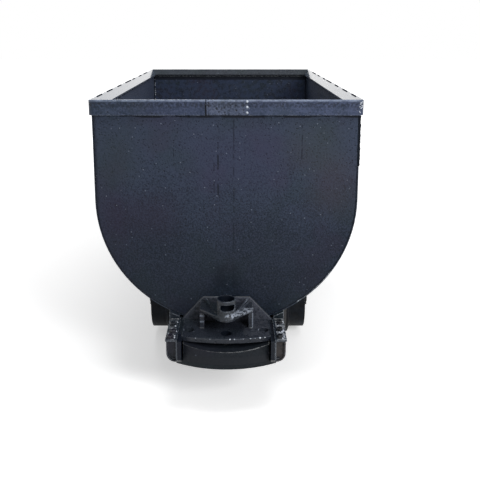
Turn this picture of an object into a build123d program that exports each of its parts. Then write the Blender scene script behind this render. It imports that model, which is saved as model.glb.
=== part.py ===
"""Ore cart with a round-bottomed tub, on two wheelsets for a 600 mm track.

The cart stands on its wheel flanges at z = 0. Its length runs along Y, its front end faces -Y,
and X runs across it. Every size is in millimetres.
"""
from build123d import *
import os
from math import acos, atan2, cos, hypot, radians, sin, sqrt

os.makedirs("parts", exist_ok=True)

# Driving dimensions of the whole cart
overall_length = 2400.0
head_projection = 200.0
rim_width = 1060.0
rim_height_over_rail = 1200.0
sill_over_axle = 56.0
tub_sink_between_sills = 22.0
wheelbase = 750.0
track_gauge = 600.0

# Plate of the tub
shell_thickness = 6.0
end_plate_thickness = 8.0
weld_gap = 0.3

# Section of the rim bar, measured from the outer face of the wall that it stands on
rim_projection = 11.5
rim_band_height = 60.0
rim_land = 8.0
rim_edge_radius = 6.0
rim_bevel_width = 24.0
rim_bevel_drop = 33.0
rim_lip_thickness = 7.0
rim_wall_seat = 22.0
rim_corner_radius = 22.0
rim_mitre_depth = 260.0
insert_width = 157.0
insert_offset = 2.5
insert_gap = 3.0

# Wheels and axles
tread_radius = 150.0
flange_height = 26.0
flange_width = 20.0
flange_crest = 10.0
tread_width = 72.0
wheel_rim_thickness = 24.0
web_thickness = 18.0
hub_radius = 62.0
hub_overhang = 6.0
cap_radius = 50.0
cap_thickness = 6.0
crown_radius = 34.0
crown_height = 8.0
axle_radius = 30.0
axle_collar_radius = 39.0
running_clearance = 0.05
side_play = 6.0

# Sills: rolled channels that open outwards
sill_height = 100.0
sill_flange_width = 45.0
sill_web_thickness = 4.5
sill_flange_thickness = 7.6
sill_root_radius = 7.0
sill_inner_x = 187.0
sill_end_setback = 10.0
sill_cope_at_web = 18.0
sill_cope_at_tip = 110.0
sill_stop_setback = 15.5
sill_stop_thickness = 8.0
sill_stop_inset = 3.5
sill_stop_flat = 1.0
sill_stop_lip = 5.0
sill_stop_lip_depth = 13.0

# Saddles between the sills and the tub, and the plates across the sills
saddle_length = 60.0
saddle_inset = 4.0
saddle_reach = 18.0
cross_plate_thickness = 10.0
cross_flange_width = 50.0
cross_plate_setback = 55.0

# Axle seats under the sills
seat_foot_length = 170.0
seat_foot_height = 14.0
seat_wall = 20.0
seat_inset = 3.0

# Coupling head, the same at both ends; its setbacks are measured from the cart's end
cheek_thickness = 15.0
cheek_drop = 8.0
cheek_chamfer = 16.0
top_plate_thickness = 18.0
top_plate_drop = 8.0
top_plate_setback = 32.0
top_plate_corner_setback = 56.0
bottom_plate_thickness = 18.0
bottom_plate_overlap = 8.0
bottom_plate_corner_setback = 54.0
jaw_height = 21.0
jaw_corner_height = 4.0
block_length = 160.0
block_side_gap = 5.5
pin_hole_radius = 20.0
pin_axis_setback = 83.0
side_hole_inset = 24.0
side_hole_setback = 115.0
back_plate_thickness = 10.0
back_plate_rise = 16.0
back_plate_side_gap = 1.0
back_plate_shoulder_inset = 11.0

# Pin guide above the coupling head
lug_rise = 82.0
lug_thickness = 14.0
nose_thickness = 18.0
lug_half_width = 106.0
lug_shoulder_back = 48.0
lug_nose_radius = 42.0
guide_outer_radius = 37.5
guide_bore_radius = 30.0
guide_height = 63.0
guide_foot_chamfer = 3.5
window_width = 55.0
window_height = 24.0
window_sill = 23.5
window_corner_radius = 8.0
window_azimuth = 14.0
rib_thickness = 10.0
rib_root_height = 15.0
rib_tip_height = 5.0
rib_tip_out = 40.0
rib_tip_back = 6.0
post_width = 18.0

# Sizes that follow from the driving dimensions
flange_radius = tread_radius + flange_height
rail_z = flange_height
axle_z = flange_radius
sill_bottom_z = axle_z + sill_over_axle
sill_top_z = sill_bottom_z + sill_height
sill_web_x = sill_inner_x + sill_web_thickness
sill_outer_x = sill_inner_x + sill_flange_width
sill_stop_x = sill_outer_x - sill_stop_inset
sill_stop_radius = sill_stop_x - sill_web_x - weld_gap - sill_stop_flat
rim_length = overall_length - 2 * head_projection
rim_face = rim_length / 2
rim_z = rail_z + rim_height_over_rail
tub_half_width = rim_width / 2 - rim_projection
tub_half_length = rim_face - rim_projection
tub_bottom_z = sill_top_z - tub_sink_between_sills
bow_z = tub_bottom_z + tub_half_width
wall_top_z = rim_z - rim_wall_seat
cart_end = overall_length / 2
sill_half_length = cart_end - sill_end_setback
cross_face = tub_half_length - cross_plate_setback
cheek_inner_x = sill_inner_x - cheek_thickness
cheek_top_z = sill_top_z - cheek_drop
top_plate_z = sill_top_z - top_plate_drop
block_top_z = top_plate_z - top_plate_thickness - jaw_height
block_corner_z = block_top_z + jaw_height - jaw_corner_height
block_half_width = cheek_inner_x - block_side_gap
bottom_plate_half_width = sill_inner_x + bottom_plate_overlap
back_plate_face = tub_half_length + back_plate_thickness
pin_y = pin_axis_setback - cart_end
lug_z = top_plate_z + lug_rise
wheel_tread_x = track_gauge / 2
wheel_inner_x = wheel_tread_x - flange_width
wheel_outer_x = wheel_tread_x + tread_width
hub_outer_x = wheel_outer_x + hub_overhang
seat_inner_x = sill_inner_x + seat_inset
seat_outer_x = sill_outer_x - seat_inset

# Each end of the cart: its name and the plane that turns front coordinates to that end
ends = (
    ("front", Plane(origin=(0, 0, 0), x_dir=(1, 0, 0), z_dir=(0, 0, 1))),
    ("rear", Plane(origin=(0, 0, 0), x_dir=(-1, 0, 0), z_dir=(0, 0, 1))),
)

# Each side of the cart: its name and the sign of its X
sides = (("left", -1), ("right", 1))


def level_plane(base, z):
    """Plane parallel to the floor at height z, turned with the base plane."""
    return base.offset(z)


def end_facing_plane(base, y):
    """Upright plane across the cart at local y: its x runs across, its y up, it faces outwards."""
    return Plane(origin=base.from_local_coords((0, y, 0)), x_dir=base.x_dir, z_dir=-base.y_dir)


def side_facing_plane(base, x):
    """Upright plane along the cart at local x: its x runs along the cart, its y up."""
    return Plane(origin=base.from_local_coords((x, 0, 0)), x_dir=base.y_dir, z_dir=base.x_dir)


def bow_height(x, radius):
    """Height of a circle about the tub's bow centre, on its lower half, at distance x from the middle."""
    return bow_z - sqrt(radius ** 2 - x ** 2)


def tangent_point(out, up, radius):
    """Where a line from the point (out, up) touches a circle about the origin, on its lower side."""
    turn = atan2(up, out) - acos(radius / hypot(out, up))
    return radius * cos(turn), radius * sin(turn)


def rim_section():
    """Corners of the rim bar: distance outside the wall's outer face, and height.

    The third corner is the outer top edge, which is rounded.
    """
    seat_width = max(shell_thickness, end_plate_thickness)
    land_inner = rim_projection - rim_land
    lip = land_inner - rim_bevel_width
    lip_z = rim_z - rim_bevel_drop
    return [
        (0, rim_z - rim_band_height),
        (rim_projection, rim_z - rim_band_height),
        (rim_projection, rim_z),
        (land_inner, rim_z),
        (lip, lip_z),
        (lip, lip_z - rim_lip_thickness),
        (-seat_width, wall_top_z),
        (0, wall_top_z),
    ]


# Tub shell: one plate bent to a U, open at both ends and at the top
with BuildPart() as tub_shell:
    with BuildSketch(Plane.XZ.offset(-tub_half_length)):
        with BuildLine():
            inner = tub_half_width - shell_thickness
            Line((-tub_half_width, wall_top_z), (-tub_half_width, bow_z))
            RadiusArc((-tub_half_width, bow_z), (tub_half_width, bow_z), -tub_half_width)
            Line((tub_half_width, bow_z), (tub_half_width, wall_top_z))
            Line((tub_half_width, wall_top_z), (inner, wall_top_z))
            Line((inner, wall_top_z), (inner, bow_z))
            RadiusArc((inner, bow_z), (-inner, bow_z), inner)
            Line((-inner, bow_z), (-inner, wall_top_z))
            Line((-inner, wall_top_z), (-tub_half_width, wall_top_z))
        make_face()
    extrude(amount=2 * tub_half_length)
tub_shell.part.label = "tub_shell"
export_step(tub_shell.part, "parts/tub_shell.step")

# End plates, set flush inside the ends of the shell
for end_name, base in ends:
    half_width = tub_half_width - shell_thickness - weld_gap
    with BuildPart() as end_plate:
        with BuildSketch(end_facing_plane(base, -tub_half_length)):
            with BuildLine():
                Line((-half_width, wall_top_z), (-half_width, bow_z))
                RadiusArc((-half_width, bow_z), (half_width, bow_z), -half_width)
                Line((half_width, bow_z), (half_width, wall_top_z))
                Line((half_width, wall_top_z), (-half_width, wall_top_z))
            make_face()
        extrude(amount=-end_plate_thickness)
    end_plate.part.label = f"end_plate_{end_name}"
    export_step(end_plate.part, f"parts/end_plate_{end_name}.step")

# Side bars of the rim, mitred and rounded at the corners
for side_name, side in sides:
    with BuildPart() as rim_side:
        with BuildSketch(Plane.XZ.offset(-rim_face)):
            section = [(side * (tub_half_width + out), z) for out, z in rim_section()]
            bar = Polygon(*section, align=None)
            fillet(bar.vertices().sort_by_distance(section[2])[0], rim_edge_radius)
        extrude(amount=rim_length)
        with BuildSketch(Plane.XY.offset(rim_z - rim_band_height)):
            RectangleRounded(rim_width, rim_length, rim_corner_radius)
        extrude(amount=rim_band_height, mode=Mode.INTERSECT)
        with BuildSketch(Plane.XY.offset(rim_z - rim_band_height)):
            outer_x = side * rim_width / 2
            inner_x = outer_x - side * rim_mitre_depth
            inner_y = rim_face - rim_mitre_depth
            Polygon(
                (outer_x, -rim_face),
                (outer_x, rim_face),
                (inner_x, inner_y),
                (inner_x, -inner_y),
                align=None,
            )
        extrude(amount=rim_band_height, mode=Mode.INTERSECT)
    rim_side.part.label = f"rim_side_{side_name}"
    export_step(rim_side.part, f"parts/rim_side_{side_name}.step")

# End bars of the rim: the front one is pieced out of two halves and a middle insert
insert_low = insert_offset - insert_width / 2
insert_high = insert_offset + insert_width / 2
end_bars = (
    # name, end, low x, high x, low end is mitred, high end is mitred
    ("rim_front_left", 0, -rim_width / 2, insert_low - insert_gap, True, False),
    ("rim_front_insert", 0, insert_low, insert_high, False, False),
    ("rim_front_right", 0, insert_high, rim_width / 2, False, True),
    ("rim_rear", 1, -rim_width / 2, rim_width / 2, True, True),
)
for bar_name, end_index, low_x, high_x, low_mitred, high_mitred in end_bars:
    base = ends[end_index][1]
    with BuildPart() as rim_end:
        with BuildSketch(side_facing_plane(base, low_x)):
            section = [(-tub_half_length - out, z) for out, z in rim_section()]
            bar = Polygon(*section, align=None)
            fillet(bar.vertices().sort_by_distance(section[2])[0], rim_edge_radius)
        extrude(amount=high_x - low_x)
        with BuildSketch(level_plane(base, rim_z - rim_band_height)):
            RectangleRounded(rim_width, rim_length, rim_corner_radius)
        extrude(amount=rim_band_height, mode=Mode.INTERSECT)
        with BuildSketch(level_plane(base, rim_z - rim_band_height)):
            low_inner_x = low_x + rim_mitre_depth if low_mitred else low_x
            high_inner_x = high_x - rim_mitre_depth if high_mitred else high_x
            Polygon(
                (low_x, -rim_face),
                (high_x, -rim_face),
                (high_inner_x, rim_mitre_depth - rim_face),
                (low_inner_x, rim_mitre_depth - rim_face),
                align=None,
            )
        extrude(amount=rim_band_height, mode=Mode.INTERSECT)
    rim_end.part.label = bar_name
    export_step(rim_end.part, f"parts/{bar_name}.step")

# Sills: channels from head to head, their lower flanges coped off at the ends
for side_name, side in sides:
    with BuildPart() as sill:
        with BuildSketch(Plane.XZ.offset(-sill_half_length)):
            web = side * sill_inner_x
            root = side * sill_web_x
            tip = side * sill_outer_x
            under_top = sill_top_z - sill_flange_thickness
            over_bottom = sill_bottom_z + sill_flange_thickness
            with BuildLine():
                FilletPolyline(
                    (tip, under_top),
                    (root, under_top),
                    (root, over_bottom),
                    (tip, over_bottom),
                    radius=sill_root_radius,
                )
                Polyline(
                    (tip, over_bottom),
                    (tip, sill_bottom_z),
                    (web, sill_bottom_z),
                    (web, sill_top_z),
                    (tip, sill_top_z),
                    (tip, under_top),
                )
            make_face()
        extrude(amount=2 * sill_half_length)
        with BuildSketch(Plane.XY.offset(sill_bottom_z)):
            for way in (-1, 1):
                Polygon(
                    (web, way * (sill_half_length - sill_cope_at_web)),
                    (tip, way * (sill_half_length - sill_cope_at_tip)),
                    (tip, way * sill_half_length),
                    (web, way * sill_half_length),
                    align=None,
                )
        extrude(amount=sill_flange_thickness + sill_root_radius, mode=Mode.SUBTRACT)
    sill.part.label = f"sill_{side_name}"
    export_step(sill.part, f"parts/sill_{side_name}.step")

# Stops that close the sills' ends: each plate has a round lower corner with a lip about it
with BuildPart() as sill_stops:
    for end_name, base in ends:
        stop_plane = end_facing_plane(base, -(sill_half_length - sill_stop_setback))
        for side_name, side in sides:
            edge = side * (sill_web_x + weld_gap)
            tip = side * sill_stop_x
            top = sill_top_z - sill_flange_thickness
            low = sill_bottom_z + sill_flange_thickness
            with BuildSketch(stop_plane.offset(sill_stop_lip_depth)) as outline:
                Polygon((edge, low), (tip, low), (tip, top), (edge, top), align=None)
                fillet(outline.vertices().sort_by_distance((tip, low))[0], sill_stop_radius)
                chamfer(outline.vertices().sort_by_distance((edge, top))[0], sill_root_radius)
            extrude(amount=-sill_stop_lip_depth - sill_stop_thickness)
            with BuildSketch(stop_plane) as recess:
                lip_x = tip - side * sill_stop_lip
                lip_z = low + sill_stop_lip
                Polygon((edge, lip_z), (lip_x, lip_z), (lip_x, top), (edge, top), align=None)
                lip_corner = recess.vertices().sort_by_distance((lip_x, lip_z))[0]
                fillet(lip_corner, sill_stop_radius - sill_stop_lip)
            extrude(amount=sill_stop_lip_depth, mode=Mode.SUBTRACT)
sill_stops.part.label = "sill_stops"
export_step(sill_stops.part, "parts/sill_stops.step")

# Saddles: wedges that fill the space between the sills and the round bottom
end_saddle_y = tub_half_length + saddle_reach - saddle_length / 2
saddle_places = (end_saddle_y, wheelbase / 2, -wheelbase / 2, -end_saddle_y)
for side_name, side in sides:
    with BuildPart() as saddles:
        near_x = sill_inner_x + saddle_inset
        far_x = sill_outer_x
        top_radius = tub_half_width + weld_gap
        for place in saddle_places:
            with BuildSketch(Plane.XZ.offset(-place - saddle_length / 2)):
                with BuildLine():
                    near_top = (side * near_x, bow_height(near_x, top_radius))
                    far_top = (side * far_x, bow_height(far_x, top_radius))
                    RadiusArc(near_top, far_top, -side * top_radius)
                    Polyline(far_top, (side * far_x, sill_top_z), (side * near_x, sill_top_z), near_top)
                make_face()
            extrude(amount=saddle_length)
    saddles.part.label = f"saddles_{side_name}"
    export_step(saddles.part, f"parts/saddles_{side_name}.step")

# Plates across the sills, cut to the tub's bow along the top and flanged along the bottom
cross_plates = (
    # name, y of the plate's outer face, way its flange points
    ("cross_member_front", -cross_face, 1),
    ("cross_member_middle", -cross_plate_thickness / 2, 1),
    ("cross_member_rear", cross_face, -1),
)
for plate_name, face_y, flange_way in cross_plates:
    with BuildPart() as cross_member:
        top_radius = tub_half_width + weld_gap
        shoulder_x = sqrt(top_radius ** 2 - (bow_z - sill_top_z) ** 2)
        with BuildSketch(Plane.XZ.offset(-face_y)):
            with BuildLine():
                RadiusArc((-shoulder_x, sill_top_z), (shoulder_x, sill_top_z), -top_radius)
                Polyline(
                    (shoulder_x, sill_top_z),
                    (sill_inner_x, sill_top_z),
                    (sill_inner_x, sill_bottom_z),
                    (-sill_inner_x, sill_bottom_z),
                    (-sill_inner_x, sill_top_z),
                    (-shoulder_x, sill_top_z),
                )
            make_face()
        extrude(amount=-flange_way * cross_plate_thickness)
        with BuildSketch(Plane.XZ.offset(-face_y)):
            with Locations((0, sill_bottom_z + cross_plate_thickness / 2)):
                Rectangle(2 * sill_inner_x, cross_plate_thickness)
        extrude(amount=-flange_way * cross_flange_width)
    cross_member.part.label = plate_name
    export_step(cross_member.part, f"parts/{plate_name}.step")

# Axle seats: a foot under the sill and a round eye about the axle
for end_name, base in ends:
    for side_name, side in sides:
        turned_side = side if end_name == "front" else -side
        with BuildPart() as seat:
            inner_x = turned_side * seat_inner_x
            with BuildSketch(side_facing_plane(base, inner_x)):
                eye = (-wheelbase / 2, axle_z)
                eye_radius = axle_radius + seat_wall
                foot_z = sill_bottom_z - seat_foot_height
                half_foot = seat_foot_length / 2 - seat_foot_height
                touch_out, touch_up = tangent_point(half_foot, foot_z - axle_z, eye_radius)
                with Locations((eye[0], sill_bottom_z - seat_foot_height / 2)):
                    Rectangle(seat_foot_length, seat_foot_height)
                with BuildLine():
                    Polyline(
                        (eye[0] + half_foot, foot_z),
                        (eye[0] + touch_out, axle_z + touch_up),
                        (eye[0] - touch_out, axle_z + touch_up),
                        (eye[0] - half_foot, foot_z),
                        close=True,
                    )
                make_face()
                with Locations(eye):
                    Circle(eye_radius)
                    Circle(axle_radius + running_clearance, mode=Mode.SUBTRACT)
            extrude(amount=turned_side * (seat_outer_x - seat_inner_x))
        seat.part.label = f"axle_seat_{end_name}_{side_name}"
        export_step(seat.part, f"parts/axle_seat_{end_name}_{side_name}.step")

# Coupling heads
for end_name, base in ends:
    # Cheeks: plates against the sills' webs
    with BuildPart() as cheeks:
        for side_name, side in sides:
            with BuildSketch(side_facing_plane(base, side * cheek_inner_x)):
                low_y = -sill_half_length
                high_y = -cross_face
                with Locations(((low_y + high_y) / 2, (sill_bottom_z + cheek_top_z) / 2)):
                    cheek = Rectangle(high_y - low_y, cheek_top_z - sill_bottom_z)
                front_foot = cheek.vertices().sort_by_distance((low_y, sill_bottom_z))[0]
                chamfer(front_foot, cheek_chamfer)
            extrude(amount=side * cheek_thickness)
    cheeks.part.label = f"cheeks_{end_name}"
    export_step(cheeks.part, f"parts/cheeks_{end_name}.step")

    # Top plate: bowed along the front, with the coupling pin's hole and two side holes
    with BuildPart() as top_plate:
        with BuildSketch(level_plane(base, top_plate_z)):
            back = -back_plate_face
            corner = top_plate_corner_setback - cart_end
            nose = top_plate_setback - cart_end
            with BuildLine():
                ThreePointArc((-cheek_inner_x, corner), (0, nose), (cheek_inner_x, corner))
                Polyline(
                    (cheek_inner_x, corner),
                    (cheek_inner_x, back),
                    (-cheek_inner_x, back),
                    (-cheek_inner_x, corner),
                )
            make_face()
            with Locations((0, pin_y)):
                Circle(pin_hole_radius, mode=Mode.SUBTRACT)
            with Locations((0, side_hole_setback - cart_end)):
                with GridLocations(2 * (cheek_inner_x - side_hole_inset), 0, 2, 1):
                    Circle(pin_hole_radius, mode=Mode.SUBTRACT)
        extrude(amount=-top_plate_thickness)
    top_plate.part.label = f"top_plate_{end_name}"
    export_step(top_plate.part, f"parts/top_plate_{end_name}.step")

    # Bottom plate: bowed along the front, it lies under the cheeks and carries the buffer block
    with BuildPart() as bottom_plate:
        with BuildSketch(level_plane(base, sill_bottom_z)):
            corner = bottom_plate_corner_setback - cart_end
            with BuildLine():
                ThreePointArc(
                    (-bottom_plate_half_width, corner),
                    (0, -cart_end),
                    (bottom_plate_half_width, corner),
                )
                Polyline(
                    (bottom_plate_half_width, corner),
                    (bottom_plate_half_width, -cross_face),
                    (-bottom_plate_half_width, -cross_face),
                    (-bottom_plate_half_width, corner),
                )
            make_face()
            with Locations((0, pin_y)):
                Circle(pin_hole_radius, mode=Mode.SUBTRACT)
        extrude(amount=-bottom_plate_thickness)
    bottom_plate.part.label = f"bottom_plate_{end_name}"
    export_step(bottom_plate.part, f"parts/bottom_plate_{end_name}.step")

    # Buffer block: its face follows the bottom plate's bow, its top is hollowed for the link bar
    with BuildPart() as block:
        with BuildSketch(level_plane(base, sill_bottom_z)):
            bow_depth = bottom_plate_corner_setback
            bow_radius = (bottom_plate_half_width ** 2 / bow_depth + bow_depth) / 2
            with Locations((0, bow_radius - cart_end)):
                Circle(bow_radius)
            with Locations((0, block_length - cart_end)):
                Rectangle(
                    2 * block_half_width,
                    block_length,
                    align=(Align.CENTER, Align.MAX),
                    mode=Mode.INTERSECT,
                )
            with Locations((0, pin_y)):
                Circle(pin_hole_radius, mode=Mode.SUBTRACT)
        extrude(amount=block_corner_z - sill_bottom_z)
        with BuildSketch(end_facing_plane(base, 0)):
            with BuildLine():
                ThreePointArc(
                    (-block_half_width, block_corner_z),
                    (0, block_top_z),
                    (block_half_width, block_corner_z),
                )
                Line((block_half_width, block_corner_z), (-block_half_width, block_corner_z))
            make_face()
        extrude(amount=cart_end, mode=Mode.SUBTRACT)
    block.part.label = f"buffer_block_{end_name}"
    export_step(block.part, f"parts/buffer_block_{end_name}.step")

    # Back plate: a trapezium on the tub's end plate above the coupling head
    with BuildPart() as back_plate:
        with BuildSketch(end_facing_plane(base, -tub_half_length)):
            top = lug_z + back_plate_rise
            low = top_plate_z - top_plate_thickness
            half_top = lug_half_width - back_plate_shoulder_inset
            half_bottom = sill_inner_x - back_plate_side_gap
            Polygon(
                (-half_bottom, cheek_top_z),
                (-cheek_inner_x, cheek_top_z),
                (-cheek_inner_x, low),
                (cheek_inner_x, low),
                (cheek_inner_x, cheek_top_z),
                (half_bottom, cheek_top_z),
                (half_top, top),
                (-half_top, top),
                align=None,
            )
        extrude(amount=back_plate_thickness)
    back_plate.part.label = f"back_plate_{end_name}"
    export_step(back_plate.part, f"parts/back_plate_{end_name}.step")

    # Pin guide: a lug plate with a thick round nose, a windowed tube on it, and two ribs, cast in one
    with BuildPart() as guide:
        shoulder = pin_y + lug_shoulder_back
        with BuildSketch(level_plane(base, lug_z)):
            touch_x, touch_back = tangent_point(lug_half_width, lug_shoulder_back, lug_nose_radius)
            touch_y = pin_y + touch_back
            with BuildLine():
                ThreePointArc((-touch_x, touch_y), (0, pin_y - lug_nose_radius), (touch_x, touch_y))
                Polyline(
                    (touch_x, touch_y),
                    (lug_half_width, shoulder),
                    (lug_half_width, -back_plate_face),
                    (-lug_half_width, -back_plate_face),
                    (-lug_half_width, shoulder),
                    (-touch_x, touch_y),
                )
            make_face()
        extrude(amount=-lug_thickness)
        with BuildSketch(level_plane(base, lug_z)):
            with Locations((0, pin_y)):
                Circle(lug_nose_radius)
        extrude(amount=-nose_thickness)
        with BuildSketch(level_plane(base, lug_z)):
            with Locations((0, pin_y)):
                Circle(guide_outer_radius)
        extrude(amount=guide_height)
        foot = guide.edges().filter_by(GeomType.CIRCLE).filter_by_position(Axis.Z, lug_z, lug_z)
        chamfer(foot.sort_by(SortBy.RADIUS)[0], guide_foot_chamfer)
        for side_name, side in sides:
            root_x = side * (lug_half_width - back_plate_shoulder_inset - rib_thickness)
            root = base.from_local_coords((root_x, -back_plate_face, lug_z))
            tip = base.from_local_coords((side * rib_tip_out, pin_y + rib_tip_back, lug_z))
            inward = tip - root
            run = inward.length
            normal = inward.cross(Vector(0, 0, 1))
            with BuildSketch(Plane(origin=root, x_dir=inward, z_dir=normal)):
                Polygon(
                    (0, -rib_tip_height),
                    (run, -rib_tip_height),
                    (run, rib_tip_height),
                    (0, rib_root_height),
                    align=None,
                )
            extrude(amount=rib_thickness / 2, both=True)
        with BuildSketch(level_plane(base, lug_z - nose_thickness)):
            with Locations((0, pin_y)):
                Circle(guide_bore_radius)
        extrude(amount=nose_thickness + guide_height, mode=Mode.SUBTRACT)
        split(bisect_by=end_facing_plane(base, -back_plate_face), keep=Keep.TOP)
        azimuth = radians(window_azimuth)
        window_way = base.x_dir * sin(azimuth) - base.y_dir * cos(azimuth)
        window_origin = base.from_local_coords((0, pin_y, lug_z + window_sill + window_height / 2))
        with BuildSketch(Plane(origin=window_origin, x_dir=(0, 0, 1), z_dir=window_way)):
            RectangleRounded(window_height, window_width, window_corner_radius)
        extrude(amount=2 * guide_outer_radius, mode=Mode.SUBTRACT)
    guide.part.label = f"pin_guide_{end_name}"
    export_step(guide.part, f"parts/pin_guide_{end_name}.step")

    # Posts that carry the lug above the top plate
    with BuildPart() as posts:
        with BuildSketch(level_plane(base, top_plate_z)):
            for side_name, side in sides:
                mid_x = side * (lug_half_width - post_width / 2)
                with Locations((mid_x, shoulder)):
                    Rectangle(post_width, -back_plate_face - shoulder, align=(Align.CENTER, Align.MIN))
        extrude(amount=lug_z - lug_thickness - top_plate_z)
    posts.part.label = f"guide_posts_{end_name}"
    export_step(posts.part, f"parts/guide_posts_{end_name}.step")

# Wheelsets: an axle, two flanged wheels and their hub caps turn as one
for end_name, base in ends:
    axle_y = base.from_local_coords((0, -wheelbase / 2, 0)).Y
    spin_plane = Plane(origin=(0, axle_y, axle_z), x_dir=(1, 0, 0), z_dir=(0, -1, 0))
    axis = Axis((0, axle_y, axle_z), (1, 0, 0))

    # Axle: stepped out to collars that keep the wheels clear of the seats
    with BuildPart() as axle:
        with BuildSketch(spin_plane):
            collar_x = seat_outer_x + side_play
            with BuildLine():
                Polyline(
                    (-hub_outer_x, 0),
                    (-hub_outer_x, axle_radius),
                    (-wheel_inner_x, axle_radius),
                    (-wheel_inner_x, axle_collar_radius),
                    (-collar_x, axle_collar_radius),
                    (-collar_x, axle_radius),
                    (collar_x, axle_radius),
                    (collar_x, axle_collar_radius),
                    (wheel_inner_x, axle_collar_radius),
                    (wheel_inner_x, axle_radius),
                    (hub_outer_x, axle_radius),
                    (hub_outer_x, 0),
                    close=True,
                )
            make_face()
        revolve(axis=axis)
    axle.part.label = f"axle_{end_name}"
    export_step(axle.part, f"parts/axle_{end_name}.step")

    for side_name, side in sides:
        # Wheel: a web flush with the flange, an overhung tread and a hub that stands out past it
        rim_inner_radius = tread_radius - wheel_rim_thickness
        web_outer_x = wheel_inner_x + web_thickness
        wheel_profile = (
            # distance from the middle of the cart, radius
            (wheel_inner_x, axle_radius),
            (wheel_inner_x, flange_radius),
            (wheel_inner_x + flange_crest, flange_radius),
            (wheel_tread_x, tread_radius),
            (wheel_outer_x, tread_radius),
            (wheel_outer_x, rim_inner_radius),
            (web_outer_x, rim_inner_radius),
            (web_outer_x, hub_radius),
            (hub_outer_x, hub_radius),
            (hub_outer_x, axle_radius),
        )
        with BuildPart() as wheel:
            with BuildSketch(spin_plane):
                with BuildLine():
                    Polyline([(side * out, radius) for out, radius in wheel_profile], close=True)
                make_face()
            revolve(axis=axis)
        wheel.part.label = f"wheel_{end_name}_{side_name}"
        export_step(wheel.part, f"parts/wheel_{end_name}_{side_name}.step")

    # Hub caps: flat covers over the ends of the axle, each with a raised crown
    crown_x = hub_outer_x + cap_thickness + crown_height
    with BuildPart() as hub_caps:
        with BuildSketch(spin_plane):
            for side_name, side in sides:
                with BuildLine():
                    Polyline(
                        (side * hub_outer_x, 0),
                        (side * hub_outer_x, cap_radius),
                        (side * (hub_outer_x + cap_thickness), cap_radius),
                        (side * (hub_outer_x + cap_thickness), crown_radius),
                        (side * crown_x, crown_radius),
                        (side * crown_x, 0),
                        close=True,
                    )
                make_face()
        revolve(axis=axis)
    hub_caps.part.label = f"hub_caps_{end_name}"
    export_step(hub_caps.part, f"parts/hub_caps_{end_name}.step")
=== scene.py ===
"""Looks of the ore cart: paint, weld beads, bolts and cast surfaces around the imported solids.

Everything is in metres in the cart's own frame: X runs across the cart, Y along it with the front
end facing -Y, and Z up from the level that the wheel flanges stand on.
"""
import logging
import random
from dataclasses import dataclass, replace
from enum import Enum
from functools import cached_property, reduce
from math import cos, pi, radians, sin, sqrt
from typing import ClassVar, Generic, Iterable, Sequence, TypeVar

import bmesh
import bpy
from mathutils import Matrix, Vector


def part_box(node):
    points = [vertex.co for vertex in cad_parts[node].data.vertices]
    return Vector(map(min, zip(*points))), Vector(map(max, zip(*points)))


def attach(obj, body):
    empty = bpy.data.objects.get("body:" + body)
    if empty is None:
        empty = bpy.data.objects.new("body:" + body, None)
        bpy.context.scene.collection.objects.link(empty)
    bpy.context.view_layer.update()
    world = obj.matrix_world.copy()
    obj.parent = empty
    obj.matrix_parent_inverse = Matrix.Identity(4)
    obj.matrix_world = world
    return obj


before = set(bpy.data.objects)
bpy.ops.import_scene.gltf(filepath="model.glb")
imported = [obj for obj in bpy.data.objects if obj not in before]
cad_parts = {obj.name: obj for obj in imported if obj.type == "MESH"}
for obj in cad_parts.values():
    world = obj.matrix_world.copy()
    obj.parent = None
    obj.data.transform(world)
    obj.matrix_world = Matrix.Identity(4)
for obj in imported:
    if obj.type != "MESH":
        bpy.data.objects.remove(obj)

log = logging.getLogger("ore_cart")

Point = tuple[float, float, float]
Colour = tuple[float, float, float]
Span = tuple[float | None, float | None]
Profile = tuple[tuple[float, float], ...]
Material = bpy.types.Material
Owner = TypeVar("Owner", Material, bpy.types.World)
Socket = bpy.types.NodeSocket
Input = float | Sequence[float] | Socket
Mesh = bmesh.types.BMesh
Corners = list[bmesh.types.BMVert]

MM = 0.001
CART = "cart"

# Stitch welds of the rim. Along the side bars: middle, measured back from the rim's front face, and
# length. Along the rear bar: both ends, across the cart.
SIDE_STITCHES = ((0.19, 0.113), (0.42, 0.137), (0.67, 0.11), (0.94, 0.187), (1.13, 0.10), (1.38, 0.12), (1.605, 0.176))
REAR_STITCHES = ((-0.393, -0.291), (-0.204, -0.143), (-0.015, 0.005), (0.113, 0.208), (0.323, 0.404))


class End(Enum):
    """The two ends of the cart, by the sign of Y that they face."""

    FRONT = -1
    REAR = 1

    @property
    def tag(self) -> str:
        """Word for this end in the names of nodes."""
        return self.name.lower()

    def place(self, x: float, y: float, z: float) -> Vector:
        """Point of the front end, carried to this end by a half turn about Z."""
        return Vector((x, y, z)) if self is End.FRONT else Vector((-x, -y, z))


class Side(Enum):
    """The two sides of the cart, by the sign of their X."""

    LEFT = -1
    RIGHT = 1

    @property
    def tag(self) -> str:
        """Word for this side in the names of nodes."""
        return self.name.lower()


# --- Materials ---


@dataclass(frozen=True)
class Zone:
    """Box in the cart's frame with soft sides, open where a side is None.

    At both ends it is given in front coordinates, and holds for the rear end turned round.
    """

    x: Span = (None, None)
    y: Span = (None, None)
    z: Span = (None, None)
    soft: float = 0.004
    both_ends: bool = False


@dataclass(frozen=True)
class Stain:
    """Patch of another colour in a zone, whole or broken up by a grain of the given size."""

    zone: Zone
    colour: Colour
    share: float = 0.7
    grain: float = 0.0


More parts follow.
